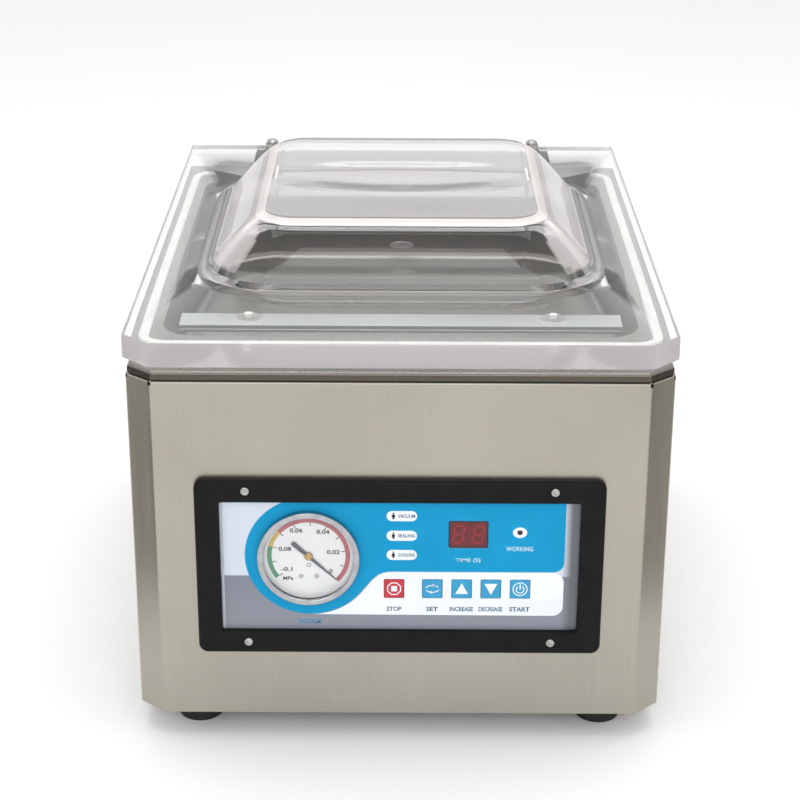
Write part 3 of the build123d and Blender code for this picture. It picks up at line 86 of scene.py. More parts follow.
def add_node(tree: Tree, kind: str, inputs: dict[Any, Any] | None = None, **settings: Any) -> bpy.types.Node:
    """Add a shader node, set its properties, and fill its sockets.

    Args:
        tree: the node tree that gets the node.
        kind: the node's type name.
        inputs: socket name or number to a plain value, or to another node's output to link from.
        **settings: properties of the node itself.

    Returns:
        The new node.
    """
    node = tree.nodes.new(kind)
    for name, value in settings.items():
        setattr(node, name, value)
    for key, value in (inputs or {}).items():
        if isinstance(value, Socket):
            tree.links.new(value, node.inputs[key])
        else:
            node.inputs[key].default_value = value
    return node


def add_noise(tree: Tree, place: Socket, scale: float, detail: float = 2.0, roughness: float = 0.5) -> Socket:
    """Add noise.

    Args:
        tree: the node tree that gets it.
        place: the coordinates it is read at.
        scale: how many cells fit in one unit of those coordinates.
        detail: how many finer layers lie over it.
        roughness: how strong each finer layer is.

    Returns:
        The noise's value.
    """
    return add_node(tree, "ShaderNodeTexNoise", {
        "Vector": place, "Scale": scale, "Detail": detail, "Roughness": roughness}).outputs["Fac"]


def spread(tree: Tree, value: Socket, source: Point2, low: float, high: float) -> Socket:
    """Move a value from its source range to the range between two numbers."""
    return add_node(tree, "ShaderNodeMapRange", {
        "Value": value, "From Min": source[0], "From Max": source[1], "To Min": low, "To Max": high}).outputs[0]


def add_ramp(tree: Tree, share: Socket, ends: Sequence[tuple[float, Colour]],
             between: Iterable[tuple[float, Colour]] = ()) -> Socket:
    """Add a colour ramp with two end stops and any stops between them, and return its colour."""
    node = add_node(tree, "ShaderNodeValToRGB", {"Fac": share})
    stops = node.color_ramp.elements
    for index, (position, colour) in enumerate(ends):
        stops[index].position, stops[index].color = position, colour
    for position, colour in between:
        stops.new(position).color = colour
    return node.outputs["Color"]


def raise_surface(tree: Tree, shader: bpy.types.Node, height: Socket, strength: float, distance: float) -> None:
    """Let a height raise the shader's surface, at a strength and over a distance in metres."""
    bump = add_node(tree, "ShaderNodeBump", {"Height": height, "Strength": strength, "Distance": distance})
    tree.links.new(bump.outputs[0], shader.inputs["Normal"])


def deselect_all() -> None:
    """Leave object mode with nothing selected."""
    if bpy.context.object is not None and bpy.context.object.mode != "OBJECT":
        bpy.ops.object.mode_set(mode="OBJECT")
    bpy.ops.object.select_all(action="DESELECT")


def make_active(piece: bpy.types.Object) -> None:
    """Select one object alone and make it active."""
    deselect_all()
    piece.select_set(True)
    bpy.context.view_layer.objects.active = piece


def middle_of(node: str) -> Point2:
    """Middle of a CAD node seen from the front: millimetres across and up."""
    low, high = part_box(node)
    return ((low.x + high.x) / 2 / MM, (low.z + high.z) / 2 / MM)


# ------------------------------------------------------------------ finishes
class Grain(Enum):
    """Direction that a brushed sheet's grain runs in, as noise scales per metre along X, Y and Z."""

    UPRIGHT = (1400.0, 1400.0, 9.0)
    ACROSS = (9.0, 1400.0, 1400.0)
    ROUND = (900.0, 900.0, 900.0)


@dataclass(frozen=True)
class Finish:
    """A surface finish. Subclasses fill in the nodes that feed the shader."""

    name: str
    colour: str
    roughness: float = 0.5
    metallic: float = 0.0
    ior: float = 1.5

    def material(self) -> bpy.types.Material:
        """Return this finish's material, built the first time it is asked for."""
        made = bpy.data.materials.get(self.name)
        if made is not None and made.get("finished"):
            return made
        made = bpy.data.materials.new(self.name)
        made["finished"] = True
        made.use_nodes = True
        tree = made.node_tree
        tree.nodes.clear()
        place = add_node(tree, "ShaderNodeTexCoord").outputs["Object"]
        shader = add_node(tree, "ShaderNodeBsdfPrincipled", {
            "Base Color": to_linear(self.colour), "Roughness": self.roughness, "Metallic": self.metallic})
        if self.metallic < 0.5:
            shader.inputs["IOR"].default_value = self.ior
        surface = self.dress(tree, place, shader)
        add_node(tree, "ShaderNodeOutputMaterial", {"Surface": surface})
        return made

    def dress(self, tree: Tree, place: Socket, shader: bpy.types.Node) -> Socket:
        """Feed the shader's sockets.

        Args:
            tree: the material's node tree.
            place: the object coordinates, in metres.
            shader: the material's main shader.

        Returns:
            The shader output that the surface shows.
        """
        return shader.outputs[0]

    def put_on(self, piece: bpy.types.Object) -> None:
        """Give every material slot of a piece this finish."""
        if not piece.material_slots:
            piece.data.materials.append(self.material())
        for held in piece.material_slots:
            held.material = self.material()


@dataclass(frozen=True)
class BrushedSteel(Finish):
    """Stainless sheet, brushed along one line: fine streaks close together, and slow cloudy shading.

    The clouds are counted to the metre, and the depth of the streaks is in metres.
    """

    metallic: float = 1.0
    grain: Grain = Grain.UPRIGHT
    shade: str = "#a8a294"
    bump: float = 0.03
    clouds: float = 14.0
    depth: float = 0.0004

    def dress(self, tree: Tree, place: Socket, shader: bpy.types.Node) -> Socket:
        """Stretch fine noise along the grain for colour, roughness and bump."""
        stretched = add_node(tree, "ShaderNodeMapping", {"Vector": place, "Scale": self.grain.value})
        streaks = add_noise(tree, stretched.outputs[0], 1.0, 3.0, 0.6)
        clouds = add_noise(tree, place, self.clouds)
        both = add_node(tree, "ShaderNodeMath", {0: streaks, 1: clouds}, operation="ADD")
        halved = add_node(tree, "ShaderNodeMath", {0: both.outputs[0], 1: 0.5}, operation="MULTIPLY")
        colour = add_ramp(tree, halved.outputs[0], ((0.35, to_linear(self.shade)), (0.65, to_linear(self.colour))))
        tree.links.new(colour, shader.inputs["Base Color"])
        rough = spread(tree, streaks, NOISE_MIDDLE, self.roughness - 0.05, self.roughness + 0.06)
        tree.links.new(rough, shader.inputs["Roughness"])
        raise_surface(tree, shader, streaks, self.bump, self.depth)
        return shader.outputs[0]


@dataclass(frozen=True)
class PressedSteel(BrushedSteel):
    """Pressed stainless pan: satin level floor and flange, and walls and rim that look deep grey-brown.

    floor_band and flange_band say, in metres above the floor and below the flange, where the painted wall shade
    starts to show and where it is full.
    """

    # Painted shade: the deep grey-brown tone laid on the chamber's walls and rim.
    upright: str = "#5d564f"
    floor_z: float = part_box("chamber_tub")[0].z
    flange_z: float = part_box("chamber_tub")[1].z
    floor_band: Point2 = (0.0022, 0.0075)
    flange_band: Point2 = (0.0005, 0.0016)

    def dress(self, tree: Tree, place: Socket, shader: bpy.types.Node) -> Socket:
        """Blend the brushed colour to the painted wall shade between the floor's rounding and the flange's edge.
        """
        surface = super().dress(tree, place, shader)
        satin = shader.inputs["Base Color"].links[0].from_socket
        parts = add_node(tree, "ShaderNodeSeparateXYZ", {0: place})
        height = spread(tree, parts.outputs["Z"], (self.floor_z, self.flange_z), 0.0, 1.0)
        span = self.flange_z - self.floor_z
        black: Colour = (0.0, 0.0, 0.0, 1.0)
        levels = ((self.floor_band[0], WHITE), (self.floor_band[1], black),
                  (span - self.flange_band[1], black), (span - self.flange_band[0], WHITE))
        share = add_ramp(tree, height, ((0.0, WHITE), (1.0, WHITE)), [(z / span, tone) for z, tone in levels])
        # Painted shade: the walls take the deep tone, while the floor and flange keep the satin colour.
        blend = add_node(tree, "ShaderNodeMix", {0: share, 6: to_linear(self.upright), 7: satin}, data_type="RGBA")
        tree.links.new(blend.outputs[2], shader.inputs["Base Color"])
        return surface


@dataclass(frozen=True)
class MottledFinish(Finish):
    """A second tone in blotches under a fine raised texture, such as moulded plastic or cast metal has."""

    shade: str = "#202020"
    blotch_mm: float = 30.0
    texture_mm: float = 0.6
    bump: float = 0.1
    depth_mm: float = 0.1
    coat: float = 0.0

    def dress(self, tree: Tree, place: Socket, shader: bpy.types.Node) -> Socket:
        """Blend two tones by slow noise and raise the surface by quick noise."""
        blotches = add_noise(tree, place, 1000.0 / self.blotch_mm, 4.0)
        colour = add_ramp(tree, blotches, ((0.38, to_linear(self.shade)), (0.62, to_linear(self.colour))))
        tree.links.new(colour, shader.inputs["Base Color"])
        texture = add_noise(tree, place, 1000.0 / self.texture_mm)
        rough = spread(tree, texture, NOISE_MIDDLE, max(self.roughness - 0.05, 0.02), self.roughness + 0.05)
        tree.links.new(rough, shader.inputs["Roughness"])
        raise_surface(tree, shader, texture, self.bump, self.depth_mm * MM)
        shader.inputs["Coat Weight"].default_value = self.coat
        return shader.outputs[0]


@dataclass(frozen=True)
class Ink(MottledFinish):
    """Printed ink or flat enamel: two tones too close to tell apart, on a surface as good as smooth."""

    roughness: float = 0.4
    blotch_mm: float = 2.0
    texture_mm: float = 0.4
    bump: float = 0.02


@dataclass(frozen=True)
class ClearPlastic(Finish):
    """Polished sheet that shows what is under it, with a share of it milky where it isn't wholly clear."""

    roughness: float = 0.02
    ior: float = 1.49
    passed: str = "#f2f4f3"
    clear: float = 1.0
    wave_mm: float = 60.0

    def dress(self, tree: Tree, place: Socket, shader: bpy.types.Node) -> Socket:
        """Bend sight by the shader, and let lamps straight through."""
        shader.inputs["Transmission Weight"].default_value = self.clear
        haze = add_noise(tree, place, 1000.0 / self.wave_mm)
        rough = spread(tree, haze, NOISE_MIDDLE, self.roughness * 0.6, self.roughness * 1.4)
        tree.links.new(rough, shader.inputs["Roughness"])
        through = add_node(tree, "ShaderNodeBsdfTransparent", {"Color": to_linear(self.passed)})
        path = add_node(tree, "ShaderNodeLightPath")
        mixed = add_node(tree, "ShaderNodeMixShader", {
            0: path.outputs["Is Shadow Ray"], 1: shader.outputs[0], 2: through.outputs[0]})
        return mixed.outputs[0]


@dataclass(frozen=True)
class PanelFilm(Finish):
    """Back-printed film: pale silver above a level line, a grey gradient below it, and painted bezel shadow at its
    right edge.

    Heights and places across are in metres.
    """

    upper: str = "#cdd6e2"
    lower: str = "#7b818e"
    foot: str = "#898e99"
    # Painted shadow of the bezel: the dark tone that the film fades to at its right edge.
    edge: str = "#63686c"
    line_z: float = 0.1133
    foot_z: float = 0.072
    height: float = 0.096
    bezel_shadow_x: Point2 = (0.0985, 0.1040)
    # Painted shadow of the bezel: where, across, it starts and where it is full.

    def dress(self, tree: Tree, place: Socket, shader: bpy.types.Node) -> Socket:
        """Choose the tone by height, darken it towards the right edge as painted bezel shadow, with faint grain
        over it.
        """
        parts = add_node(tree, "ShaderNodeSeparateXYZ", {0: place})
        share = spread(tree, parts.outputs["Z"], (self.foot_z, self.foot_z + self.height), 0.0, 1.0)
        line = (self.line_z - self.foot_z) / self.height
        upper = to_linear(self.upper)
        colour = add_ramp(tree, share, ((0.0, to_linear(self.foot)), (1.0, upper)),
                          ((line - 0.003, to_linear(self.lower)), (line + 0.003, upper)))
        # Painted bezel shadow: the tone darkens towards the right edge.
        across = spread(tree, parts.outputs["X"], self.bezel_shadow_x, 0.0, 1.0)
        bezel_shadowed = add_node(tree, "ShaderNodeMix", {0: across, 6: colour, 7: to_linear(self.edge)}, data_type="RGBA")
        grain = add_noise(tree, place, 900.0)
        rough = spread(tree, grain, NOISE_MIDDLE, self.roughness - 0.04, self.roughness + 0.04)
        tree.links.new(bezel_shadowed.outputs[2], shader.inputs["Base Color"])
        tree.links.new(rough, shader.inputs["Roughness"])
        return shader.outputs[0]


# Steels and plated metals.
# Warm grey sheet with upright brush lines.
CASING_STEEL = BrushedSteel("brushed_stainless_sheet", "#afaa9f", 0.33, grain=Grain.UPRIGHT, shade="#a6a196")
# Softer sheen with no direction, for bent and turned steel.
DECK_STEEL = BrushedSteel("satin_bent_stainless", "#b9b4ab", 0.30, grain=Grain.ROUND, shade="#aaa49a")
# Satin floor and flange darker than the casing as painted shade, and painted shade on the walls so the chamber
# reads hollow.
CHAMBER_STEEL = PressedSteel("satin_pressed_stainless", "#94908b", 0.30, grain=Grain.ROUND, shade="#8a8681")
# Crystals a few millimetres across, as galvanised sheet has.
ZINC = MottledFinish("spangled_zinc_sheet", "#b6babd", 0.42, metallic=1.0, shade="#9ca1a5", blotch_mm=9.0,
                     texture_mm=3.0, bump=0.05)
# Small bright heads with sharp reflections.
NICKEL = MottledFinish("bright_nickel_plate", "#b6b5b2", 0.2, metallic=1.0, shade="#a3a29f", blotch_mm=3.0,
                       texture_mm=0.4, bump=0.04, depth_mm=0.02)
# The sharpest mirror on the machine, round the gauge.
CHROME = MottledFinish("polished_gauge_ring", "#b2b4b7", 0.14, metallic=1.0, shade="#a3a5a9", blotch_mm=6.0,
                       texture_mm=0.5, bump=0.02, depth_mm=0.01)
# Paler and cooler than the steel, with lines along the bars.
ALUMINIUM = BrushedSteel("mill_finish_aluminium", "#d4d5d6", 0.34, grain=Grain.ACROSS, shade="#c3c5c7")
# Dull, warm metal with lines along the ribbon.
RIBBON = BrushedSteel("rolled_resistance_ribbon", "#8a837c", 0.4, grain=Grain.ACROSS, shade="#6e6862")
# Dark bright wire.
SPRING = MottledFinish("drawn_spring_wire", "#9a9b9e", 0.3, metallic=1.0, shade="#808184", blotch_mm=2.0,
                       texture_mm=0.5, bump=0.05, depth_mm=0.02)
# Warm yellow against the dial's white.
BRASS = MottledFinish("turned_brass", "#c9a35c", 0.25, metallic=1.0, shade="#b78f4a", blotch_mm=3.0,
                      bump=0.05, texture_mm=0.4, depth_mm=0.02)
# Reddish metal with coarse ridges, like wire under varnish.
COPPER = MottledFinish("varnished_copper_winding", "#a4622f", 0.35, metallic=1.0, shade="#8a4f24",
                       blotch_mm=2.0, texture_mm=0.8, bump=0.4, depth_mm=0.2)
# Grey sheets on edge, seen as a stack of lines.
LAMINATION = BrushedSteel("varnished_laminations", "#77777a", 0.45, grain=Grain.UPRIGHT, shade="#5c5c5f",
                          bump=0.3)
# Grainy dull paint over sand-cast metal.
CAST = MottledFinish("painted_sand_casting", "#8b8e91", 0.5, shade="#7d8083", blotch_mm=25.0, texture_mm=1.2,
                     bump=0.35, depth_mm=0.3)
# Smooth blue-grey paint with a slight orange peel.
MOTOR = MottledFinish("grey_blue_enamel", "#4e5761", 0.35, shade="#47505a", blotch_mm=30.0, texture_mm=1.5,
                      bump=0.12)

# Rubbers, plastics and tape.
# Near black and dull, so the feet and the seal read as soft.
RUBBER = MottledFinish("black_moulded_rubber", "#17181a", 0.62, shade="#101112", blotch_mm=12.0,
                       texture_mm=0.8, bump=0.2)
# Soft warm white for the line of the gasket.
SILICONE = MottledFinish("white_silicone_gasket", "#dedcd9", 0.45, shade="#d2d0cd", blotch_mm=20.0,
                         texture_mm=0.7, bump=0.12)
# Dusty grey-brown rubber strip.
PAD_SILICONE = MottledFinish("grey_silicone_strip", "#a09a90", 0.5, shade="#8f897f", blotch_mm=15.0,
                             texture_mm=0.6, bump=0.1)
# Milky white discs under the pressure bar's screws.
FROSTED = MottledFinish("frosted_washer", "#f0eeec", 0.5, shade="#e4e2e0", blotch_mm=4.0, texture_mm=0.5,
                        bump=0.06)
# Brown woven tape, with its weave raised.
TAPE = MottledFinish("ptfe_glass_tape", "#8c6f4e", 0.42, shade="#7a5f42", blotch_mm=5.0, texture_mm=0.7,
                     bump=0.35)
# Matt black moulding. A low refractive index keeps white room light off it.
BLACK_ABS = MottledFinish("black_textured_abs", "#171717", 0.45, shade="#121213", ior=1.22, blotch_mm=14.0,
                          texture_mm=0.45, bump=0.12, depth_mm=0.05)
# A little glossier and bluer than the other black mouldings.
NYLON = MottledFinish("black_moulded_nylon", "#1d1e20", 0.45, shade="#171819", blotch_mm=10.0, texture_mm=0.7,
                      bump=0.1)
# Cloudy grey-yellow tube.
HOSE = MottledFinish("cloudy_pvc_hose", "#bdbcb2", 0.3, shade="#aeada2", blotch_mm=8.0, texture_mm=1.0, bump=0.1)
# Glossy red, the one bright colour at the back.
ROCKER_RED = MottledFinish("polished_red_rocker", "#a01a1c", 0.2, shade="#941719", blotch_mm=6.0,
                           texture_mm=0.8, bump=0.02)
# Green board behind the panel.
BOARD = MottledFinish("green_solder_mask", "#1c5a33", 0.3, shade="#17502c", blotch_mm=6.0, texture_mm=0.8,
                      bump=0.1)
# Dark glossy cup round the dial.
CUP_BLACK = MottledFinish("black_enamelled_cup", "#1a1a1b", 0.35, shade="#141415", blotch_mm=8.0,
                          texture_mm=0.6, bump=0.06)

# Printing on the panel, the keys and the display.
# Strong even blue. A low refractive index keeps it from going milky.
BLUE_INK = MottledFinish("blue_film_ink", "#1697c9", 0.34, ior=1.2, shade="#1493c4", blotch_mm=25.0,
                         texture_mm=0.9, bump=0.03, depth_mm=0.02)
# Clean cool white with a faint gloss.
WHITE_INK = MottledFinish("white_film_ink", "#eef2fa", 0.34, shade="#e6ebf4", blotch_mm=25.0, texture_mm=0.9,
                          bump=0.03, depth_mm=0.02, coat=0.2)
# Key pads a little duller than the field round them.
KEY_BLUE = MottledFinish("blue_key_pad", "#2a9bc9", 0.36, shade="#2694c2", blotch_mm=9.0, texture_mm=0.7,
                         bump=0.05, depth_mm=0.02)
KEY_RED = MottledFinish("red_key_pad", "#c62a3a", 0.36, shade="#bb2636", blotch_mm=9.0, texture_mm=0.7,
                        bump=0.05, depth_mm=0.02)
# Lettering: grey-blue on white, near black for the arrows, pale on blue, and blue on silver.
TEAL_INK = Ink("grey_teal_lettering", "#58748a", shade="#4f6b81", texture_mm=0.5)
NIGHT_INK = Ink("dark_lettering", "#2a2630", shade="#221f28", texture_mm=0.5)
PALE_INK = Ink("pale_blue_lettering", "#bfe2f2", shade="#b2dbee")
BLUE_LETTER = Ink("blue_lettering", "#3f93bd", shade="#398bb4")
# A thin light line down the window's edge.
STRIP_INK = Ink("pale_edge_strip", "#bfc6d0", 0.35, shade="#b4bbc6", blotch_mm=8.0, texture_mm=0.5)
# Dark surround, dark red window, digits just lighter than it, and lamps that are off.
DISPLAY_RIM = Ink("display_surround", "#20203a", 0.3, shade="#1a1a30", blotch_mm=4.0, texture_mm=0.5)
DISPLAY_RED = Ink("dark_red_filter", "#6a1b22", 0.22, shade="#611820", blotch_mm=6.0, texture_mm=0.6)
SEGMENT_RED = Ink("unlit_segments", "#93262b", 0.3, shade="#8b2328", blotch_mm=3.0, texture_mm=0.5)
LED_DARK = Ink("unlit_red_diffuser", "#3a0d14", 0.15, shade="#2c0a10", blotch_mm=1.0)

# The gauge: a bright white dial, three faded bands, dark marks, and a needle greyer than they are.
DIAL_WHITE = Ink("white_enamelled_dial", "#fdfdfe", shade="#f8f9fb", blotch_mm=18.0, texture_mm=0.5)
DIAL_RED = Ink("red_dial_ink", "#c5616a", shade="#bd5861", blotch_mm=6.0)
DIAL_YELLOW = Ink("yellow_dial_ink", "#e3c560", shade="#dcbc57", blotch_mm=6.0)
DIAL_GREEN = Ink("green_dial_ink", "#3f9a70", shade="#389168", blotch_mm=6.0)
DIAL_INK = Ink("dark_dial_ink", "#33363c", shade="#2c2f35")
NEEDLE_GREY = MottledFinish("dark_grey_needle_enamel", "#454b55", 0.35, shade="#3d434c", blotch_mm=4.0,
                            texture_mm=0.5, bump=0.03)

# Clear parts.
# The lid's flat sheet, quite clear.
LID_ACRYLIC = ClearPlastic("clear_formed_acrylic", "#fbfcfc", 0.015)
# The sheet's cut edge, a hazy pinkish grey band.
EDGE_ACRYLIC = ClearPlastic("machined_acrylic_edge", "#cdc7c9", 0.16, clear=0.35, wave_mm=4.0)
# The dome's upper rounding, made milky as a painted highlight: a pale line where it catches the light.
RIDGE_HIGHLIGHT_ACRYLIC = ClearPlastic("acrylic_ridge_painted_highlight", "#f7f2f0", 0.05, clear=0.34, wave_mm=30.0)
# The dome's top and side walls under a thin milky veil, which on the top also serves as a painted highlight.
CROWN_ACRYLIC = ClearPlastic("formed_acrylic_crown", "#f7f3f2", 0.04, clear=0.8, wave_mm=40.0)
SIDE_ACRYLIC = ClearPlastic("formed_acrylic_side", "#f7f3f2", 0.04, clear=0.76, wave_mm=30.0)
# Flat glass over the dial, and the pump's yellowed oil window.
LENS_GLASS = ClearPlastic("flat_gauge_glass", "#fdfdfd", 0.01, ior=1.5)
SIGHT_GLASS = ClearPlastic("oil_window", "#efe6b4", 0.05, passed="#efe6b4")

NODE_FINISHES: dict[str, Finish] = {
    "housing_wrap": CASING_STEEL, "back_panel": CASING_STEEL, "back_panel_screws": NICKEL, "base_plate": ZINC,
    "rubber_feet": RUBBER, "foot_fasteners": NICKEL, "deck_seal_strip": RUBBER, "chamber_tub": CHAMBER_STEEL,
    "lid_gasket": SILICONE, "suction_port": NICKEL, "seal_terminals": BRASS, "seal_bar": ALUMINIUM,
    "heating_wire": RIBBON, "release_tape": TAPE, "seal_rods": DECK_STEEL, "seal_cylinders": ALUMINIUM,
    "return_springs": SPRING, "lid": LID_ACRYLIC, "pressure_bar": ALUMINIUM, "silicone_strip": PAD_SILICONE,
    "pressure_bar_screws": FROSTED, "hinge_plate": DECK_STEEL, "lid_bolts": NICKEL,
    "hinge_brackets": DECK_STEEL, "hinge_shaft": DECK_STEEL, "torsion_springs": SPRING, "panel_bezel": BLACK_ABS,
    "bezel_screws": NICKEL, "panel_plate": PanelFilm("silver_panel_film", "#cdd6e2", 0.35),
    "key_stop": KEY_RED, "key_set": KEY_BLUE, "key_up": KEY_BLUE, "key_down": KEY_BLUE, "key_start": KEY_BLUE,
    "control_board": BOARD, "display_module": DISPLAY_RIM, "indicator_leds": LED_DARK, "gauge_case": CUP_BLACK, "gauge_ring": CHROME,
    "gauge_lens": LENS_GLASS, "gauge_dial": DIAL_WHITE, "gauge_needle": NEEDLE_GREY, "power_inlet": BLACK_ABS,
    "switch_frame": BLACK_ABS, "power_rocker": ROCKER_RED, "pump_mounts": RUBBER, "pump_casing": CAST,
    "pump_cover": CAST, "oil_sight_glass": SIGHT_GLASS, "exhaust_filter": NYLON, "motor_shell": MOTOR,
    "motor_stator": LAMINATION, "pump_rotor": DECK_STEEL, "cooling_fan": NYLON, "fan_cowl": MOTOR,
    "vacuum_hose": HOSE, "solenoid_valves": BRASS, "lift_hoses": HOSE, "transformer_core": LAMINATION,
    "transformer_coils": COPPER,
}


# ------------------------------------------------------------------ flat shapes and lettering
def circle_points(centre: Point2, radius: float, start: float = 0.0, end: float = 360.0,
                  steps: int = 96) -> list[Point2]:
    """Points round an arc in degrees, both ends included unless the arc is a whole turn."""
    whole = abs(end - start) >= 360
    count = steps if whole else steps + 1
    return [(centre[0] + radius * math.cos(math.radians(start + (end - start) * i / steps)),
             centre[1] + radius * math.sin(math.radians(start + (end - start) * i / steps)))
            for i in range(count)]


def rounded_box(centre: Point2, width: float, height: float, corner: float, steps: int = 10) -> list[Point2]:
    """Outline of a rectangle with rounded corners."""
    outline: list[Point2] = []
    for sx, sy, start in ((1, 1, 0), (-1, 1, 90), (-1, -1, 180), (1, -1, 270)):
        middle = (centre[0] + sx * (width / 2 - corner), centre[1] + sy * (height / 2 - corner))
        outline += circle_points(middle, corner, start, start + 90, steps)
    return outline


def stand_up(piece: bpy.types.Object, back_y: float, thickness: float) -> bpy.types.Object:
    """Turn a flat mesh drawn in X and Y to face the front, thicken it, and leave it at the origin unturned.

    Args:
        piece: the flat mesh, drawn in millimetres, whose Y is the height.
        back_y: place of its back face along Y, in millimetres.
        thickness: its thickness in millimetres, towards the front.

    Returns:
        The same piece.
    """
    make_active(piece)
    piece.scale = (MM, MM, MM)
    piece.rotation_euler = (math.radians(90), 0.0, 0.0)
    piece.location = (0.0, back_y * MM, 0.0)
    bpy.ops.object.transform_apply(location=True, rotation=True, scale=True)
    bpy.ops.object.mode_set(mode="EDIT")
    bpy.ops.mesh.select_all(action="SELECT")
    bpy.ops.mesh.remove_doubles(threshold=0.000002)
    bpy.ops.object.mode_set(mode="OBJECT")
    for face in piece.data.polygons:
        if face.normal.y > 0:
            face.flip()
    piece.data.update()
    solid = piece.modifiers.new("thickness", "SOLIDIFY")
    solid.thickness = thickness * MM
    solid.offset = 1.0
    bpy.ops.object.modifier_apply(modifier=solid.name)
    return piece


def print_shape(name: str, outlines: Iterable[Sequence[Point2]], back_y: float,
                thickness: float) -> bpy.types.Object:
    """Make a thin printed shape that faces the front, from its outline and the outlines of its holes.

    Args:
        name: the piece's name.
        outlines: closed outlines in millimetres, across and up.
        back_y: place of its back face along Y, in millimetres.
        thickness: thickness in millimetres.

    Returns:
        The piece, at the origin.
    """
    curve = bpy.data.curves.new(name, "CURVE")
    curve.dimensions = "2D"
    curve.fill_mode = "BOTH"
    for outline in outlines:
        spline = curve.splines.new("POLY")
        spline.points.add(len(outline) - 1)
        for point, (x, y) in zip(spline.points, outline):
            point.co = (x, y, 0.0, 1.0)
        spline.use_cyclic_u = True
    piece = bpy.data.objects.new(name, curve)
    bpy.context.scene.collection.objects.link(piece)
    make_active(piece)
    bpy.ops.object.convert(target="MESH")
    return stand_up(bpy.context.object, back_y, thickness)


def print_words(name: str, lines: Iterable[tuple[str, Point2, float, float]], back_y: float,
                thickness: float) -> bpy.types.Object:
    """Make thin printed lettering that faces the front.

    Args:
        name: the piece's name.
        lines: for each line its words, the place of its middle, and its width and height, in millimetres.
        back_y: place of the lettering's back face along Y, in millimetres.
        thickness: thickness in millimetres.

    Returns:
        One piece with all the lines, at the origin.
    """
    made = []
    for words, (x, y), width, height in lines:
        deselect_all()
        bpy.ops.object.text_add()
        bpy.context.object.data.body = words
        bpy.context.object.data.resolution_u = 3
        bpy.context.object.data.offset = 0.03
        bpy.ops.object.convert(target="MESH")
        letters = bpy.context.object
        low = [min(v.co[k] for v in letters.data.vertices) for k in (0, 1)]
        high = [max(v.co[k] for v in letters.data.vertices) for k in (0, 1)]
        bpy.ops.object.mode_set(mode="EDIT")
        bpy.ops.mesh.select_all(action="SELECT")
        bpy.ops.transform.translate(value=(-(low[0] + high[0]) / 2, -(low[1] + high[1]) / 2, 0.0))
        bpy.ops.object.mode_set(mode="OBJECT")
        letters.scale = (width / (high[0] - low[0]), height / (high[1] - low[1]), 1.0)
        letters.location = (x, y, 0.0)
        bpy.ops.object.transform_apply(location=True, rotation=True, scale=True)
        made.append(letters)
    deselect_all()
    for piece in made:
        piece.select_set(True)
    bpy.context.view_layer.objects.active = made[0]
    if len(made) > 1:
        bpy.ops.object.join()
    piece = bpy.context.object
    piece.name = name
    return stand_up(piece, back_y, thickness)


def settle(piece: bpy.types.Object, finish: Finish, body: str) -> bpy.types.Object:
    """Dress a finished piece, and let it ride on a body."""
    finish.put_on(piece)
    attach(piece, body)
    LOG.info("%s: %d faces on %s", piece.name, len(piece.data.polygons), body)
    return piece


# ------------------------------------------------------------------ control panel
class Key(Enum):
    """The panel's keys: body, CAD node, label and the label's width."""

    STOP = ("stop_key", "key_stop", "STOP", 9.0)
    SET = ("set_key", "key_set", "SET", 7.2)
    UP = ("up_key", "key_up", "INCREASE", 14.4)
    DOWN = ("down_key", "key_down", "DECREASE", 14.6)
    START = ("start_key", "key_start", "START", 12.6)

    @property
    def body(self) -> str:
        """Body that the key's icon rides on."""
        return self.value[0]

    @property
    def x(self) -> float:
        """Place of the key's middle, in millimetres."""
        return middle_of(self.value[1])[0]


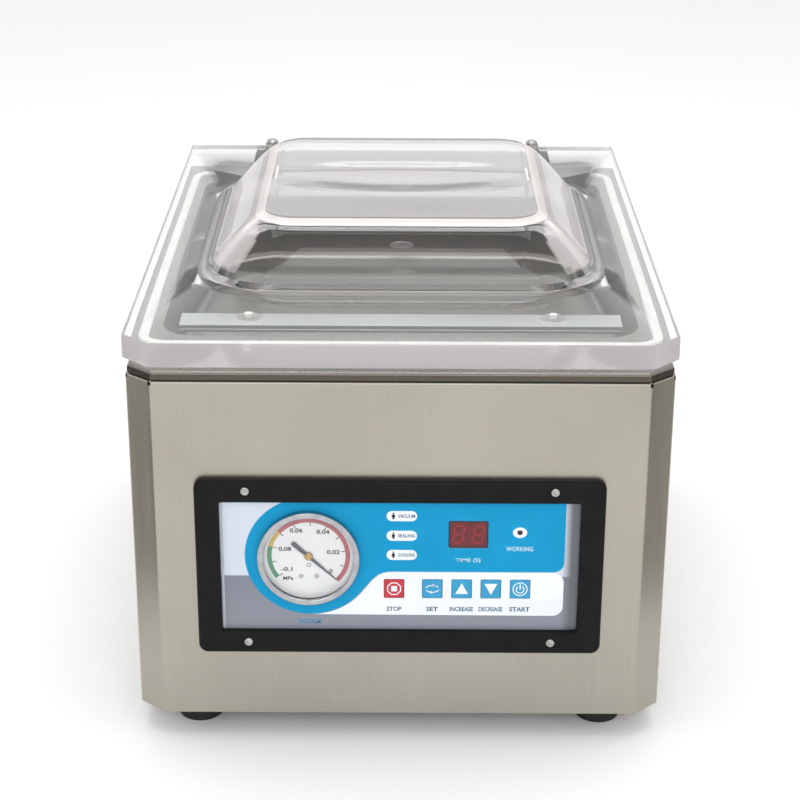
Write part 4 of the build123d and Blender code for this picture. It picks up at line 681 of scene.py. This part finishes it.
@dataclass
class PanelPrint:
    """Printed film on the control panel: fields, pills, icons, lettering and the display's digits.

    All measures are in millimetres. Heights are above the casing's lower edge, except the three Y places.
    """

    face_y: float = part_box("panel_plate")[0].y / MM
    key_front_y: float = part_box("key_set")[0].y / MM
    display_y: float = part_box("display_module")[0].y / MM
    base_z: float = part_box("housing_wrap")[0].z / MM
    ink: float = 0.04
    gauge_hole: float = 30.4
    ring_centre: Point2 = (-54.6, 110.1)
    ring_radius: float = 39.3
    window_top: float = 147.3
    field_right: float = 99.8
    field_bottom: float = 99.8
    field_corner: float = 6.5
    swell_centre: Point2 = (-5.0, 83.8)
    swell_radius: float = 16.0
    band_top: float = 99.5
    band_bottom: float = 70.0
    key_z: float = middle_of("key_set")[1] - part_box("housing_wrap")[0].z / MM
    key_opening: Point2 = (12.6, 13.0)
    name_z: float = 74.4
    pill_places: tuple[float, ...] = (137.2, 124.1, 111.2)
    pill_x: float = 1.15
    pill_size: Point2 = (18.3, 6.7)
    lamp_x: float = -3.9
    lamp_radius: float = 1.1
    working_place: Point2 = (72.4, 126.5)
    working_radius: float = 1.7
    display_place: Point2 = (41.35, 125.0)
    display_opening: Point2 = (24.0, 18.3)

    def build(self) -> None:
        """Make every printed piece of the panel."""
        self.make_blue_field()
        self.make_white_band()
        self.make_edge_strip()
        self.make_pills()
        self.make_icons()
        self.make_display()
        self.make_lettering()

    def up(self, outline: Iterable[Point2]) -> list[Point2]:
        """Lift an outline measured from the casing's lower edge to its height above the table."""
        return [(x, z + self.base_z) for x, z in outline]

    def lay(self, name: str, outlines: Iterable[Sequence[Point2]], back_y: float, finish: Finish,
            body: str = "machine") -> None:
        """Print a shape, lifted to its height above the table, and settle it."""
        shape = print_shape(name, [self.up(outline) for outline in outlines], back_y, self.ink)
        settle(shape, finish, body)

    def letter(self, name: str, lines: Iterable[tuple[str, Point2, float, float]], back_y: float,
               finish: Finish) -> None:
        """Print words, lifted to their height above the table, and settle them."""
        lifted = [(words, (x, z + self.base_z), width, height) for words, (x, z), width, height in lines]
        settle(print_words(name, lifted, back_y, self.ink), finish, "machine")

    def lamp_hole(self, z: float) -> list[Point2]:
        """Round opening of one step lamp."""
        return circle_points((self.lamp_x, z), self.lamp_radius, steps=24)

    def border(self) -> tuple[list[Point2], list[Point2]]:
        """The edge between the ring round the gauge and the white band.

        Returns:
            The arc round the gauge from the window's top to where it leaves the ring, and the swell that
            leads from there to the level edge above the keys.
        """
        (cx, cz), (sx, sz) = self.ring_centre, self.swell_centre
        away = math.hypot(sx - cx, sz - cz)
        lean = math.atan2(sz - cz, sx - cx)
        reach = min((self.ring_radius + self.swell_radius) / away, 1.0)
        slope = math.degrees(math.asin(reach) + lean)
        top = 180 - math.degrees(math.asin((self.window_top - cz) / self.ring_radius))
        arc = circle_points(self.ring_centre, self.ring_radius, top, 270 + slope, 64)
        swell = circle_points(self.swell_centre, self.swell_radius, 90 + slope, 90, 24)
        return arc, swell

    def make_blue_field(self) -> None:
        """Make the blue field with its ring round the gauge."""
        arc, swell = self.border()
        right, low, corner = self.field_right, self.field_bottom, self.field_corner
        outline = arc + swell + circle_points((right - corner, low + corner), corner, -90, 0, 10)
        outline += circle_points((right - 2.0, self.window_top - 2.0), 2.0, 0, 90, 6)
        gauge = (middle_of("gauge_ring")[0], middle_of("gauge_ring")[1] - self.base_z)
        holes = [circle_points(gauge, self.gauge_hole),
                 rounded_box(self.display_place, *self.display_opening, 1.0)]
        holes += [self.lamp_hole(z) for z in self.pill_places]
        holes.append(circle_points(self.working_place, self.working_radius, steps=32))
        self.lay("blue_field_print", [outline, *holes], self.face_y, BLUE_INK)

    def make_white_band(self) -> None:
        """Make the white band that the keys stand in."""
        arc, swell = self.border()
        (cx, cz), low = self.ring_centre, self.band_bottom
        right, corner = self.field_right, self.field_corner
        ring = [p for p in arc if p[0] > cx and p[1] < cz]
        edge = [(x + 0.35, z - 0.35) for x, z in ring + swell]
        edge = [(x, max(z, low)) for x, z in edge]
        outline = circle_points((right - corner, self.band_top - 0.3 - corner), corner, 90, 0, 10)
        outline += circle_points((right - corner, low + corner), corner, 0, -90, 10)
        keys = [rounded_box((key.x, self.key_z), *self.key_opening, 0.8) for key in Key]
        self.lay("white_band_print", [edge + outline, *keys], self.face_y, WHITE_INK)

    def make_edge_strip(self) -> None:
        """Make the pale strip down the window's left edge."""
        self.lay("edge_strip_print", [rounded_box((-107.4, 103.8), 1.5, 86.6, 0.4, 3)], self.face_y, STRIP_INK)

    def make_pills(self) -> None:
        """Make the white pills of the three step lamps, the working lamp's oval, and the arrows."""
        outlines = []
        for z in self.pill_places:
            outlines += [rounded_box((self.pill_x, z), *self.pill_size, 3.3), self.lamp_hole(z)]
        x, z = self.working_place
        oval = [(x + (px - x) * 1.22, pz) for px, pz in circle_points((x, z), 3.5, steps=48)]
        outlines += [oval, circle_points((x, z), self.working_radius, steps=32)]
        face = self.face_y - self.ink
        self.lay("lamp_pills_print", outlines, face, WHITE_INK)
        arrows = []
        for z in self.pill_places:
            arrows.append([(-4.3, z + 2.3), (-3.5, z + 2.3), (-3.5, z + 1.15), (-4.3, z + 1.15)])
            arrows.append([(-4.9, z - 1.0), (-2.9, z - 1.0), (-3.9, z - 2.4)])
        self.lay("lamp_arrows_print", arrows, face - self.ink, NIGHT_INK)

    def make_icons(self) -> None:
        """Make the white sign on each key, riding on that key."""
        signs: dict[Key, list[list[Point2]]] = {
            Key.STOP: [self.octagon(4.6), self.octagon(3.9), rounded_box((0.0, 0.0), 3.6, 3.6, 0.3, 3)],
            Key.SET: self.cycle_sign(),
            Key.UP: [[(-3.9, -3.4), (3.9, -3.4), (0.0, 4.0)]],
            Key.DOWN: [[(-3.9, 3.6), (0.0, -3.9), (3.9, 3.6)]],
            Key.START: [circle_points((0, 0), 4.6, steps=48), circle_points((0, 0), 4.0, steps=48),
                        circle_points((0, -0.2), 2.7, 125, 415, 40)
                        + circle_points((0, -0.2), 2.1, 415, 125, 40),
                        rounded_box((0.0, 1.6), 0.8, 3.6, 0.35, 4)]}
        for key, outlines in signs.items():
            placed = [[(x + key.x, z + self.key_z) for x, z in outline] for outline in outlines]
            self.lay(f"{key.name.lower()}_key_sign", placed, self.key_front_y, WHITE_INK, key.body)

    @staticmethod
    def octagon(size: float) -> list[Point2]:
        """Outline of an octagon that stands on a flat side, given its distance from middle to corner."""
        return circle_points((0.0, 0.0), size, 22.5, 382.5, 8)[:8]

    @staticmethod
    def cycle_sign() -> list[list[Point2]]:
        """Outlines of a flat ellipse in two halves, each ending in an arrowhead."""
        halves = []
        for start, tip in ((25, 1), (205, -1)):
            outer = [(x * 4.4, z * 2.6) for x, z in circle_points((0, 0), 1.0, start, start + 140, 24)]
            inner = [(x * 3.8, z * 2.0) for x, z in circle_points((0, 0), 1.0, start + 140, start, 24)]
            halves.append(outer + inner)
            halves.append([(tip * 0.1, tip * 3.5), (tip * 0.1, tip * 1.2), (tip * 2.0, tip * 2.3)])
        return halves

    def make_display(self) -> None:
        """Make the display's red filter and its unlit digits."""
        x, z = self.display_place
        window = rounded_box((x, z), 22.0, 16.2, 0.6)
        self.lay("display_filter", [window], self.display_y, DISPLAY_RED)
        bars = [bar for middle in (-5.9, 5.9) for bar in self.digit((x + middle, z))]
        self.lay("display_segments", bars, self.display_y - self.ink, SEGMENT_RED)

    @staticmethod
    def digit(centre: Point2) -> list[list[Point2]]:
        """Outlines of the seven bars of a slanted digit."""
        half, tall, thick, slant, gap = 2.9, 5.6, 0.62, 0.14, 0.35
        bars = []
        for level in (-1, 0, 1):
            z, reach = level * tall, half - gap
            bars.append([(-reach, z), (-reach + thick, z + thick), (reach - thick, z + thick), (reach, z),
                         (reach - thick, z - thick), (-reach + thick, z - thick)])
        for side in (-1, 1):
            for low in (-tall, 0.0):
                a, b, x = low + gap, low + tall - gap, side * half
                bars.append([(x, a), (x + thick, a + thick), (x + thick, b - thick), (x, b),
                             (x - thick, b - thick), (x - thick, a + thick)])
        return [[(centre[0] + x + slant * z, centre[1] + z) for x, z in bar] for bar in bars]

    def make_lettering(self) -> None:
        """Letter the film in plain words: key names, lamp names and the display's unit."""
        face = self.face_y - self.ink
        self.letter("key_names", [(key.value[2], (key.x, self.name_z), key.value[3], 3.1) for key in Key], face,
                    TEAL_INK)
        steps = zip(self.pill_places, ("VACUUM", "SEALING", "COOLING"))
        self.letter("lamp_names", [(word, (4.0, z), 10.4, 2.3) for z, word in steps], face - self.ink, TEAL_INK)
        on_blue = [("TIME (S)", (41.3, 107.6), 15.4, 3.2), ("WORKING", (72.4, 115.6), 16.4, 3.1)]
        self.letter("unit_and_working_names", on_blue, face, PALE_INK)
        under_gauge = [("VACUUM", (middle_of("gauge_ring")[0], 65.6), 14.0, 2.9)]
        self.letter("gauge_name", under_gauge, self.face_y, BLUE_LETTER)


# ------------------------------------------------------------------ vacuum gauge
@dataclass
class GaugeFace:
    """Printing on the gauge's dial, the dial's rivets, and the needle's brass hub."""

    dial_y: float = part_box("gauge_dial")[0].y / MM
    needle_y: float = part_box("gauge_needle")[0].y / MM
    centre: Point2 = middle_of("gauge_dial")
    band_outer: float = 25.2
    band_inner: float = 22.4
    tick_inner: float = 20.0
    zero_angle: float = -44.0
    degrees_per_unit: float = 2610.0
    ink: float = 0.04

    def build(self) -> None:
        """Make the coloured bands, the marks, the figures, the rivets and the hub."""
        bands = (("dial_red_band", 0.0, 0.07, DIAL_RED), ("dial_yellow_band", 0.07, 0.08, DIAL_YELLOW),
                 ("dial_green_band", 0.08, 0.1, DIAL_GREEN))
        for name, low, high, finish in bands:
            a, b = self.angle(low), self.angle(high)
            steps = max(int((b - a) / 3), 8)
            ring = (circle_points(self.centre, self.band_outer, a, b, steps)
                    + circle_points(self.centre, self.band_inner, b, a, steps))
            settle(print_shape(name, [ring], self.dial_y, self.ink), finish, "machine")
        marks = [self.mark(value / 100, self.tick_inner, self.band_inner, 0.5) for value in range(11)]
        marks.append(self.mark(0.075, self.band_inner + 0.4, self.band_outer - 0.8, 0.35))
        marks += [circle_points((self.centre[0], self.centre[1] - 6.2), 1.4, steps=24),
                  circle_points((self.centre[0], self.centre[1] - 6.2), 1.05, steps=24)]
        face = self.dial_y - self.ink
        settle(print_shape("dial_marks", marks, face, self.ink), DIAL_INK, "machine")
        figures = [("0.02", (15.0, 2.6), 7.8, 2.9), ("0.04", (8.9, 16.2), 7.8, 2.9),
                   ("0.06", (-7.3, 17.0), 7.8, 2.9), ("0.08", (-14.3, 4.6), 7.8, 2.9),
                   ("-0.1", (-13.2, -9.0), 6.6, 2.9), ("0", (13.4, -10.2), 2.2, 2.9),
                   ("MPa", (-12.6, -15.2), 6.2, 2.5)]
        placed = [(word, (self.centre[0] + x, self.centre[1] + z), width, height)
                  for word, (x, z), width, height in figures]
        settle(print_words("dial_figures", placed, face, self.ink), DIAL_INK, "machine")
        for side in (-1, 1):
            self.make_rivet(f"dial_rivet_{'left' if side < 0 else 'right'}", (side * 4.8, -13.6), 1.5, 0.35,
                            self.dial_y, NICKEL, "machine")
        self.make_rivet("needle_hub", (0.0, 0.0), 2.55, 0.9, self.needle_y, BRASS, "needle")

    def angle(self, value: float) -> float:
        """Angle of a reading on the dial, in degrees from the right, seen from the front."""
        return self.zero_angle + self.degrees_per_unit * value

    def mark(self, value: float, inner: float, outer: float, width: float) -> list[Point2]:
        """Outline of one mark on the dial."""
        a = math.radians(self.angle(value))
        along, side = (math.cos(a), math.sin(a)), (-math.sin(a) * width / 2, math.cos(a) * width / 2)
        cx, cz = self.centre
        return [(cx + along[0] * r + side[0] * s, cz + along[1] * r + side[1] * s)
                for r, s in ((inner, -1), (outer, -1), (outer, 1), (inner, 1))]

    def make_rivet(self, name: str, place: Point2, radius: float, height: float, back_y: float,
                   finish: Finish, body: str) -> None:
        """Turn a low-domed head with a small dimple in it, standing on a face that looks to the front."""
        deselect_all()
        middle = ((self.centre[0] + place[0]) * MM, back_y * MM, (self.centre[1] + place[1]) * MM)
        bpy.ops.mesh.primitive_circle_add(vertices=40, radius=radius * MM, fill_type="NGON",
                                          rotation=(math.radians(90), 0.0, 0.0), location=middle)
        head = bpy.context.object
        head.name = name
        bpy.ops.object.transform_apply(location=True, rotation=True, scale=True)
        bpy.ops.object.mode_set(mode="EDIT")
        bpy.ops.mesh.select_all(action="SELECT")
        for share, shrink in ((0.45, 0.98), (0.35, 0.88), (0.2, 0.72), (-0.35, 0.55)):
            bpy.ops.mesh.extrude_region_move(TRANSFORM_OT_translate={"value": (0.0, -height * share * MM, 0.0)})
            bpy.ops.transform.resize(value=(shrink, 1.0, shrink), center_override=middle)
        bpy.ops.mesh.select_all(action="SELECT")
        bpy.ops.mesh.normals_make_consistent(inside=False)
        bpy.ops.object.mode_set(mode="OBJECT")
        bpy.ops.object.shade_smooth_by_angle(angle=math.radians(40))
        settle(head, finish, body)


# ------------------------------------------------------------------ sealing bar's lift
@dataclass
class LiftSprings:
    """Return springs in the two lift cylinders, which shorten as the pistons rise."""

    wire: float = 0.8
    turns: int = 6
    steps_per_turn: int = 28

    def build(self) -> None:
        """Wind a spring for each cylinder, join the pair into one piece, and let it stand for the plain one."""
        low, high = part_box("return_springs")
        wire = self.wire * MM
        mean = (high.y - low.y) / 2 - wire
        middle_y = (low.y + high.y) / 2
        pitch = (high.z - low.z - 2 * wire) / self.turns
        made = [self.wind(mean, pitch, Vector((x, middle_y, low.z + wire)))
                for x in (low.x + mean + wire, high.x - mean - wire)]
        deselect_all()
        for coil in made:
            coil.select_set(True)
        bpy.context.view_layer.objects.active = made[0]
        bpy.ops.object.join()
        piece = bpy.context.object
        piece.name = "lift_return_springs"
        SPRING.put_on(piece)
        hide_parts("return_springs")
        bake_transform(piece)

    def wind(self, mean: float, pitch: float, foot: Vector) -> bpy.types.Object:
        """Wind round wire into a coil.

        Args:
            mean: radius of the coil's middle line, in metres.
            pitch: rise of one turn, in metres.
            foot: where the coil's axis meets the middle of its lowest wire.

        Returns:
            The coil, at the origin.
        """
        deselect_all()
        bpy.ops.mesh.primitive_circle_add(vertices=12, radius=self.wire * MM, location=(mean, 0.0, 0.0),
                                          rotation=(math.radians(90), 0.0, 0.0))
        coil = bpy.context.object
        bpy.ops.object.transform_apply(location=True, rotation=True, scale=True)
        winding = coil.modifiers.new("winding", "SCREW")
        winding.angle = math.radians(360)
        winding.screw_offset = pitch
        winding.iterations = self.turns
        winding.steps = winding.render_steps = self.steps_per_turn
        bpy.ops.object.modifier_apply(modifier=winding.name)
        bpy.ops.object.mode_set(mode="EDIT")
        bpy.ops.mesh.select_all(action="SELECT")
        bpy.ops.mesh.fill_holes(sides=0)
        bpy.ops.mesh.select_all(action="SELECT")
        bpy.ops.mesh.normals_make_consistent(inside=False)
        bpy.ops.transform.translate(value=foot)
        bpy.ops.object.mode_set(mode="OBJECT")
        bpy.ops.object.shade_smooth_by_angle(angle=math.radians(40))
        return coil


# ------------------------------------------------------------------ clear lid
class LidZone(Enum):
    """Part of the lid that a face belongs to, as the number of its material slot."""

    SHEET = 0
    EDGE = 1
    RIDGE = 2
    CROWN = 3
    SIDE = 4


@dataclass
class ClearLid:
    """Clear lid: a thick sheet with cut front corners, and a dome formed up out of it.

    All measures are in millimetres. Heights of the dome are above the sheet. A flare, lip or rounding is
    given as how far it reaches and the height where it ends or starts.
    """

    bottom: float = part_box("lid")[0].z / MM
    sheet: float = 15.0
    half_width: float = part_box("lid")[1].x / MM
    front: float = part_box("lid")[0].y / MM
    back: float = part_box("lid")[1].y / MM
    corner_cut: float = 16.5
    cut_shrink: float = 0.586
    back_cut: float = 12.0
    edge_bevel: float = 0.8
    foot_bevel: float = 0.5
    dome_y: float = 1.5
    base_half: Point2 = (129.0, 124.0)
    crown_half: Point2 = (92.0, 103.0)
    base_corner: float = 47.0
    crown_corner: float = 25.0
    height: float = 40.0
    wall: float = 6.5
    flare: Point2 = (13.0, 11.0)
    lip: Point2 = (5.0, 5.0)
    outer_rounding: Point2 = (7.0, 29.0)
    inner_rounding: Point2 = (6.0, 22.0)
    throat_draft: float = 0.9
    crown_sag: float = 1.6
    dimple_half: Point2 = (80.0, 27.0)
    dimple_y: float = 2.0
    dimple_depth: float = 2.3
    crown_from: float = 34.0
    ridge_from: float = 36.2
    side_from: float = 6.0
    arc_steps: int = 14
    side_steps: int = 16

    @property
    def top(self) -> float:
        """Height of the sheet's upper face above the table."""
        return self.bottom + self.sheet

    def build(self) -> None:
        """Make the lid and let it stand for the plain one."""
        points, faces = self.shell()
        mesh = bpy.data.meshes.new("clear_lid")
        mesh.from_pydata([(x * MM, y * MM, z * MM) for x, y, z in points], [], faces)
        piece = bpy.data.objects.new("clear_lid", mesh)
        bpy.context.scene.collection.objects.link(piece)
        make_active(piece)
        bpy.ops.object.mode_set(mode="EDIT")
        bpy.ops.mesh.select_all(action="SELECT")
        bpy.ops.mesh.remove_doubles(threshold=0.00001)
        bpy.ops.mesh.normals_make_consistent(inside=False)
        bpy.ops.object.mode_set(mode="OBJECT")
        bpy.ops.object.shade_smooth_by_angle(angle=math.radians(35))
        settle(piece, LID_ACRYLIC, "lid")
        # Slots for the cut edge, the ridge's painted highlight, the crown's partly painted highlight, and the
        # sides.
        for finish in (EDGE_ACRYLIC, RIDGE_HIGHLIGHT_ACRYLIC, CROWN_ACRYLIC, SIDE_ACRYLIC):
            mesh.materials.append(finish.material())
        for face in mesh.polygons:
            face.material_index = self.zone(face).value
        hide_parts("lid")

    def zone(self, face: bpy.types.MeshPolygon) -> LidZone:
        """Find the part of the lid that a face belongs to, from its height and the way it faces."""
        level, up = face.center.z / MM - self.top, face.normal.z
        if abs(up) < 0.9 and level < 0 and self.on_rim(face.center):
            return LidZone.EDGE
        if level > self.crown_from and abs(up) > 0.96:
            return LidZone.CROWN
        if level > self.ridge_from:
            return LidZone.RIDGE
        return LidZone.SIDE if level > self.side_from and abs(face.normal.x) > 0.5 else LidZone.SHEET

    def on_rim(self, place: Vector) -> bool:
        """True for a place on the sheet's outer edge."""
        x, y = abs(place.x) / MM, place.y / MM
        return (x > self.half_width - 1 or y < self.front + 1 or y > self.back - 1
                or (x - self.half_width) - (y - self.front) > -self.corner_cut - 1)

    def section(self, half_x: float, half_y: float, corner: float, z: float) -> Ring:
        """One ring of points round a rounded rectangle, the same number for every size."""
        ring = []
        for sx, sy, start in ((1, -1, 270), (1, 1, 0), (-1, 1, 90), (-1, -1, 180)):
            cx, cy = sx * (half_x - corner), sy * (half_y - corner)
            for i in range(self.arc_steps + 1):
                a = math.radians(start + 90 * i / self.arc_steps)
                ring.append((cx + corner * math.cos(a), self.dome_y + cy + corner * math.sin(a), z))
        full = []
        per = self.arc_steps + 1
        for k in range(4):
            corner_points = ring[k * per:(k + 1) * per]
            full += corner_points
            a, b = corner_points[-1], ring[((k + 1) * per) % len(ring)]
            for i in range(1, self.side_steps):
                t = i / self.side_steps
                full.append(tuple(a[j] + (b[j] - a[j]) * t for j in range(3)))
        return full

    def plan(self, level: float, inset: float, reach: float) -> Ring:
        """Ring of the dome at a height above the sheet, drawn in by an inset and out by a reach."""
        share = level / self.height
        half_x = self.base_half[0] + share * (self.crown_half[0] - self.base_half[0]) - inset + reach
        half_y = self.base_half[1] + share * (self.crown_half[1] - self.base_half[1]) - inset + reach
        corner = self.base_corner + share * (self.crown_corner - self.base_corner) - inset + reach
        return self.section(half_x, half_y, corner, self.top + level)

    @staticmethod
    def eased_in(level: float, start: float, end: float, amount: float) -> float:
        """How far a rounded edge between two heights draws the wall in."""
        share = min(max((level - start) / (end - start), 0.0), 1.0)
        return amount * (1 - math.sqrt(1 - share * share))

    def outer_rings(self) -> list[Ring]:
        """Rings of the dome's outside, from its flare on the sheet to its crown."""
        rings = []
        reach, flat = self.flare
        amount, start = self.outer_rounding
        for level in (0, 0.5, 1.2, 2.2, 3.5, 5, 7, 9, 11, 14, 18, 22, 26, 29, 31, 33, 35, 36.5, 38, 39, 39.6, 40):
            inset = self.eased_in(level, start, self.height + 0.02, amount)
            rings.append(self.plan(level, inset, reach * (1 - min(level / flat, 1)) ** 2))
        return rings

    def inner_rings(self) -> list[Ring]:
        """Rings of the dome's hollow, from the lip under the sheet to its ceiling."""
        crown, deep = self.height - self.wall, self.top - self.bottom
        rings = []
        reach, flat = self.lip
        amount, start = self.inner_rounding
        for level in (-15, -14.5, -13.5, -12, -10, -7, -4, 0,
                      4, 8, 13, 18, 22, 24, 26, 28, 30, 31.5, 32.6, 33.2, 33.5):
            below = max(level, 0.0) - level
            inset = self.wall + self.throat_draft * below + self.eased_in(level, start, crown + 0.02, amount)
            rings.append(self.plan(level, inset, reach * (1 - min((level + deep) / flat, 1)) ** 2))
        return rings

    def cap(self, ring: Ring, sag: float) -> list[Ring]:
        """Rings that close a ceiling from its edge to its middle, dished by a sag."""
        rings = []
        half_x = max(abs(p[0]) for p in ring)
        half_y = max(abs(p[1] - self.dome_y) for p in ring)
        shares = [0.985, 0.965] + [0.94 - 0.035 * i for i in range(27)]
        for share in shares:
            inside = []
            for x, y, z in ring:
                px, py = x * share, (y - self.dome_y) * share
                u, v = px / half_x, py / half_y
                dish = max(1 - u * u, 0) ** 1.5 * max(1 - v * v, 0) ** 1.5
                away = (px / self.dimple_half[0]) ** 2 + ((py - self.dimple_y) / self.dimple_half[1]) ** 2
                dimple = self.dimple_depth * math.exp(-away * away)
                inside.append((px, py + self.dome_y, z - sag * dish - dimple))
            rings.append(inside)
        return rings

    def sheet_edge(self, inset: float, z: float) -> Ring:
        """Ring of points round the sheet's outline, paired with the dome's rings."""
        right, front, back = self.half_width - inset, self.front + inset, self.back - inset
        cut = self.corner_cut - self.cut_shrink * inset
        n, turn = self.arc_steps, self.back_cut
        corners = []
        corners.append([(right - cut + cut * i / n, front + cut * i / n) for i in range(n + 1)])
        half = n // 2
        corners.append([(right, back - turn + turn * i / half) for i in range(half)]
                       + [(right - turn * i / half, back) for i in range(half + 1)])
        corners.append([(-x, y) for x, y in reversed(corners[1])])
        corners.append([(-x, y) for x, y in reversed(corners[0])])
        full = []
        for k in range(4):
            here, following = corners[k], corners[(k + 1) % 4]
            full += [(x, y, z) for x, y in here]
            (ax, ay), (bx, by) = here[-1], following[0]
            for i in range(1, self.side_steps):
                t = i / self.side_steps
                full.append((ax + (bx - ax) * t, ay + (by - ay) * t, z))
        return full

    def shell(self) -> tuple[Ring, list[tuple[int, ...]]]:
        """Points and faces of the whole lid as one closed skin."""
        outer, inner = self.outer_rings(), self.inner_rings()
        bevel, foot = self.edge_bevel, self.foot_bevel
        loops = list(reversed(self.cap(outer[-1], self.crown_sag))) + list(reversed(outer))
        loops += [self.sheet_edge(bevel, self.top), self.sheet_edge(0.0, self.top - bevel),
                  self.sheet_edge(0.0, self.bottom + foot), self.sheet_edge(foot, self.bottom)]
        loops += inner + self.cap(inner[-1], self.crown_sag)
        points = [p for loop in loops for p in loop]
        count = len(loops[0])
        faces: list[tuple[int, ...]] = []
        for k in range(len(loops) - 1):
            for i in range(count):
                j = (i + 1) % count
                faces.append((k * count + i, k * count + j, (k + 1) * count + j, (k + 1) * count + i))
        faces.append(tuple(range(count)))
        faces.append(tuple(reversed(range((len(loops) - 1) * count, len(loops) * count))))
        return points, faces


# ------------------------------------------------------------------ stage
@dataclass
class Studio:
    """Pale floor, soft light and the camera."""

    sky_strength: float = 1.14
    target: tuple[float, float, float] = (0.0, 0.1, 0.1)
    light_bounces: int = 32
    focal_length: float = 90.164
    camera_x: float = 0.00095
    camera_ahead: float = 1.08807
    camera_above: float = 0.43553
    aim: tuple[float, float, float] = (67.7058, -0.2290, 0.1586)

    def build(self) -> None:
        """Make the floor, the lights, the world and the camera."""
        self.make_floor()
        self.make_world()
        self.make_lights()
        self.make_camera()

    def make_floor(self) -> None:
        """Lay a wide pale floor."""
        deselect_all()
        bpy.ops.mesh.primitive_plane_add(size=24.0, location=(0.0, 0.0, 0.0))
        floor = bpy.context.object
        floor.name = "studio_floor"
        MottledFinish("pale_studio_floor", "#fdfdfd", 0.6, shade="#fbfbfb", blotch_mm=900.0, texture_mm=8.0,
                      bump=0.0).put_on(floor)

    def make_world(self) -> None:
        """Light everything softly, brightest in a band a little above the skyline."""
        world = bpy.data.worlds.new("studio_world")
        bpy.context.scene.world = world
        world.use_nodes = True
        tree = world.node_tree
        tree.nodes.clear()
        facing = add_node(tree, "ShaderNodeTexCoord").outputs["Generated"]
        parts = add_node(tree, "ShaderNodeSeparateXYZ", {0: facing})
        low, high = (0.42, 0.42, 0.42, 1.0), (0.6, 0.6, 0.6, 1.0)
        glow = add_ramp(tree, parts.outputs["Z"], ((0.1, low), (0.85, high)), ((0.28, WHITE), (0.5, WHITE)))
        sky = add_node(tree, "ShaderNodeBackground", {"Color": glow, "Strength": self.sky_strength})
        add_node(tree, "ShaderNodeOutputWorld", {"Surface": sky.outputs[0]})

    def make_lights(self) -> None:
        """Hang a large soft lamp over the machine and stand one before it, and grey cards at its sides."""
        lamps = (("overhead_softbox", (0.0, 0.1, 1.7), (1.6, 1.2), 12.0),
                 ("front_softbox", (0.0, -2.4, 1.3), (1.8, 1.2), 13.0))
        for name, place, size, watts in lamps:
            deselect_all()
            bpy.ops.object.light_add(type="AREA", location=place)
            lamp = bpy.context.object
            lamp.name = name
            aim = Vector(self.target) - Vector(place)
            lamp.rotation_euler = aim.to_track_quat("-Z", "Y").to_euler()
            lamp.data.shape = "RECTANGLE"
            lamp.data.size, lamp.data.size_y = size
            lamp.data.energy = watts
        for side in (-1, 1):
            self.make_card(side)

    def make_card(self, side: int) -> None:
        """Stand a grey card beside the machine, which only polished surfaces see."""
        deselect_all()
        bpy.ops.mesh.primitive_plane_add(size=1.0, location=(side * 0.34, -0.24, 0.12),
                                         rotation=(0.0, math.radians(90), 0.0))
        card = bpy.context.object
        card.name = "left_card" if side < 0 else "right_card"
        card.scale = (0.24, 0.10, 1.0)
        bpy.ops.object.transform_apply(location=True, rotation=True, scale=True)
        MottledFinish("dark_studio_card", "#8a847f", 0.9, shade="#827c77", blotch_mm=200.0,
                      bump=0.0).put_on(card)
        card.visible_camera = card.visible_diffuse = card.visible_shadow = card.visible_transmission = False

    def make_camera(self) -> None:
        """Stand the camera in front of the machine, above the lid and looking down on it."""
        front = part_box("housing_wrap")[0].y
        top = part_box("housing_wrap")[1].z
        lens = bpy.data.cameras.new("camera")
        lens.lens = self.focal_length
        lens.sensor_width = 36.0
        lens.clip_start, lens.clip_end = 0.05, 60.0
        camera = bpy.data.objects.new("camera", lens)
        camera.location = (self.camera_x, front - self.camera_ahead, top + self.camera_above)
        camera.rotation_euler = [math.radians(a) for a in self.aim]
        bpy.context.scene.collection.objects.link(camera)
        bpy.context.scene.camera = camera
        bpy.context.scene.view_settings.view_transform = "Standard"
        bpy.context.scene.cycles.max_bounces = self.light_bounces
        bpy.context.scene.cycles.transmission_bounces = self.light_bounces


def dress_cad_nodes() -> None:
    """Put each CAD node's finish on it."""
    for name, finish in NODE_FINISHES.items():
        finish.put_on(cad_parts[name])


def main() -> None:
    """Build the looks, sub-assembly by sub-assembly."""
    logging.basicConfig(level=logging.INFO, format="%(name)s %(message)s")
    dress_cad_nodes()
    PanelPrint().build()
    GaugeFace().build()
    LiftSprings().build()
    ClearLid().build()
    Studio().build()


if __name__ == "__main__":
    main()
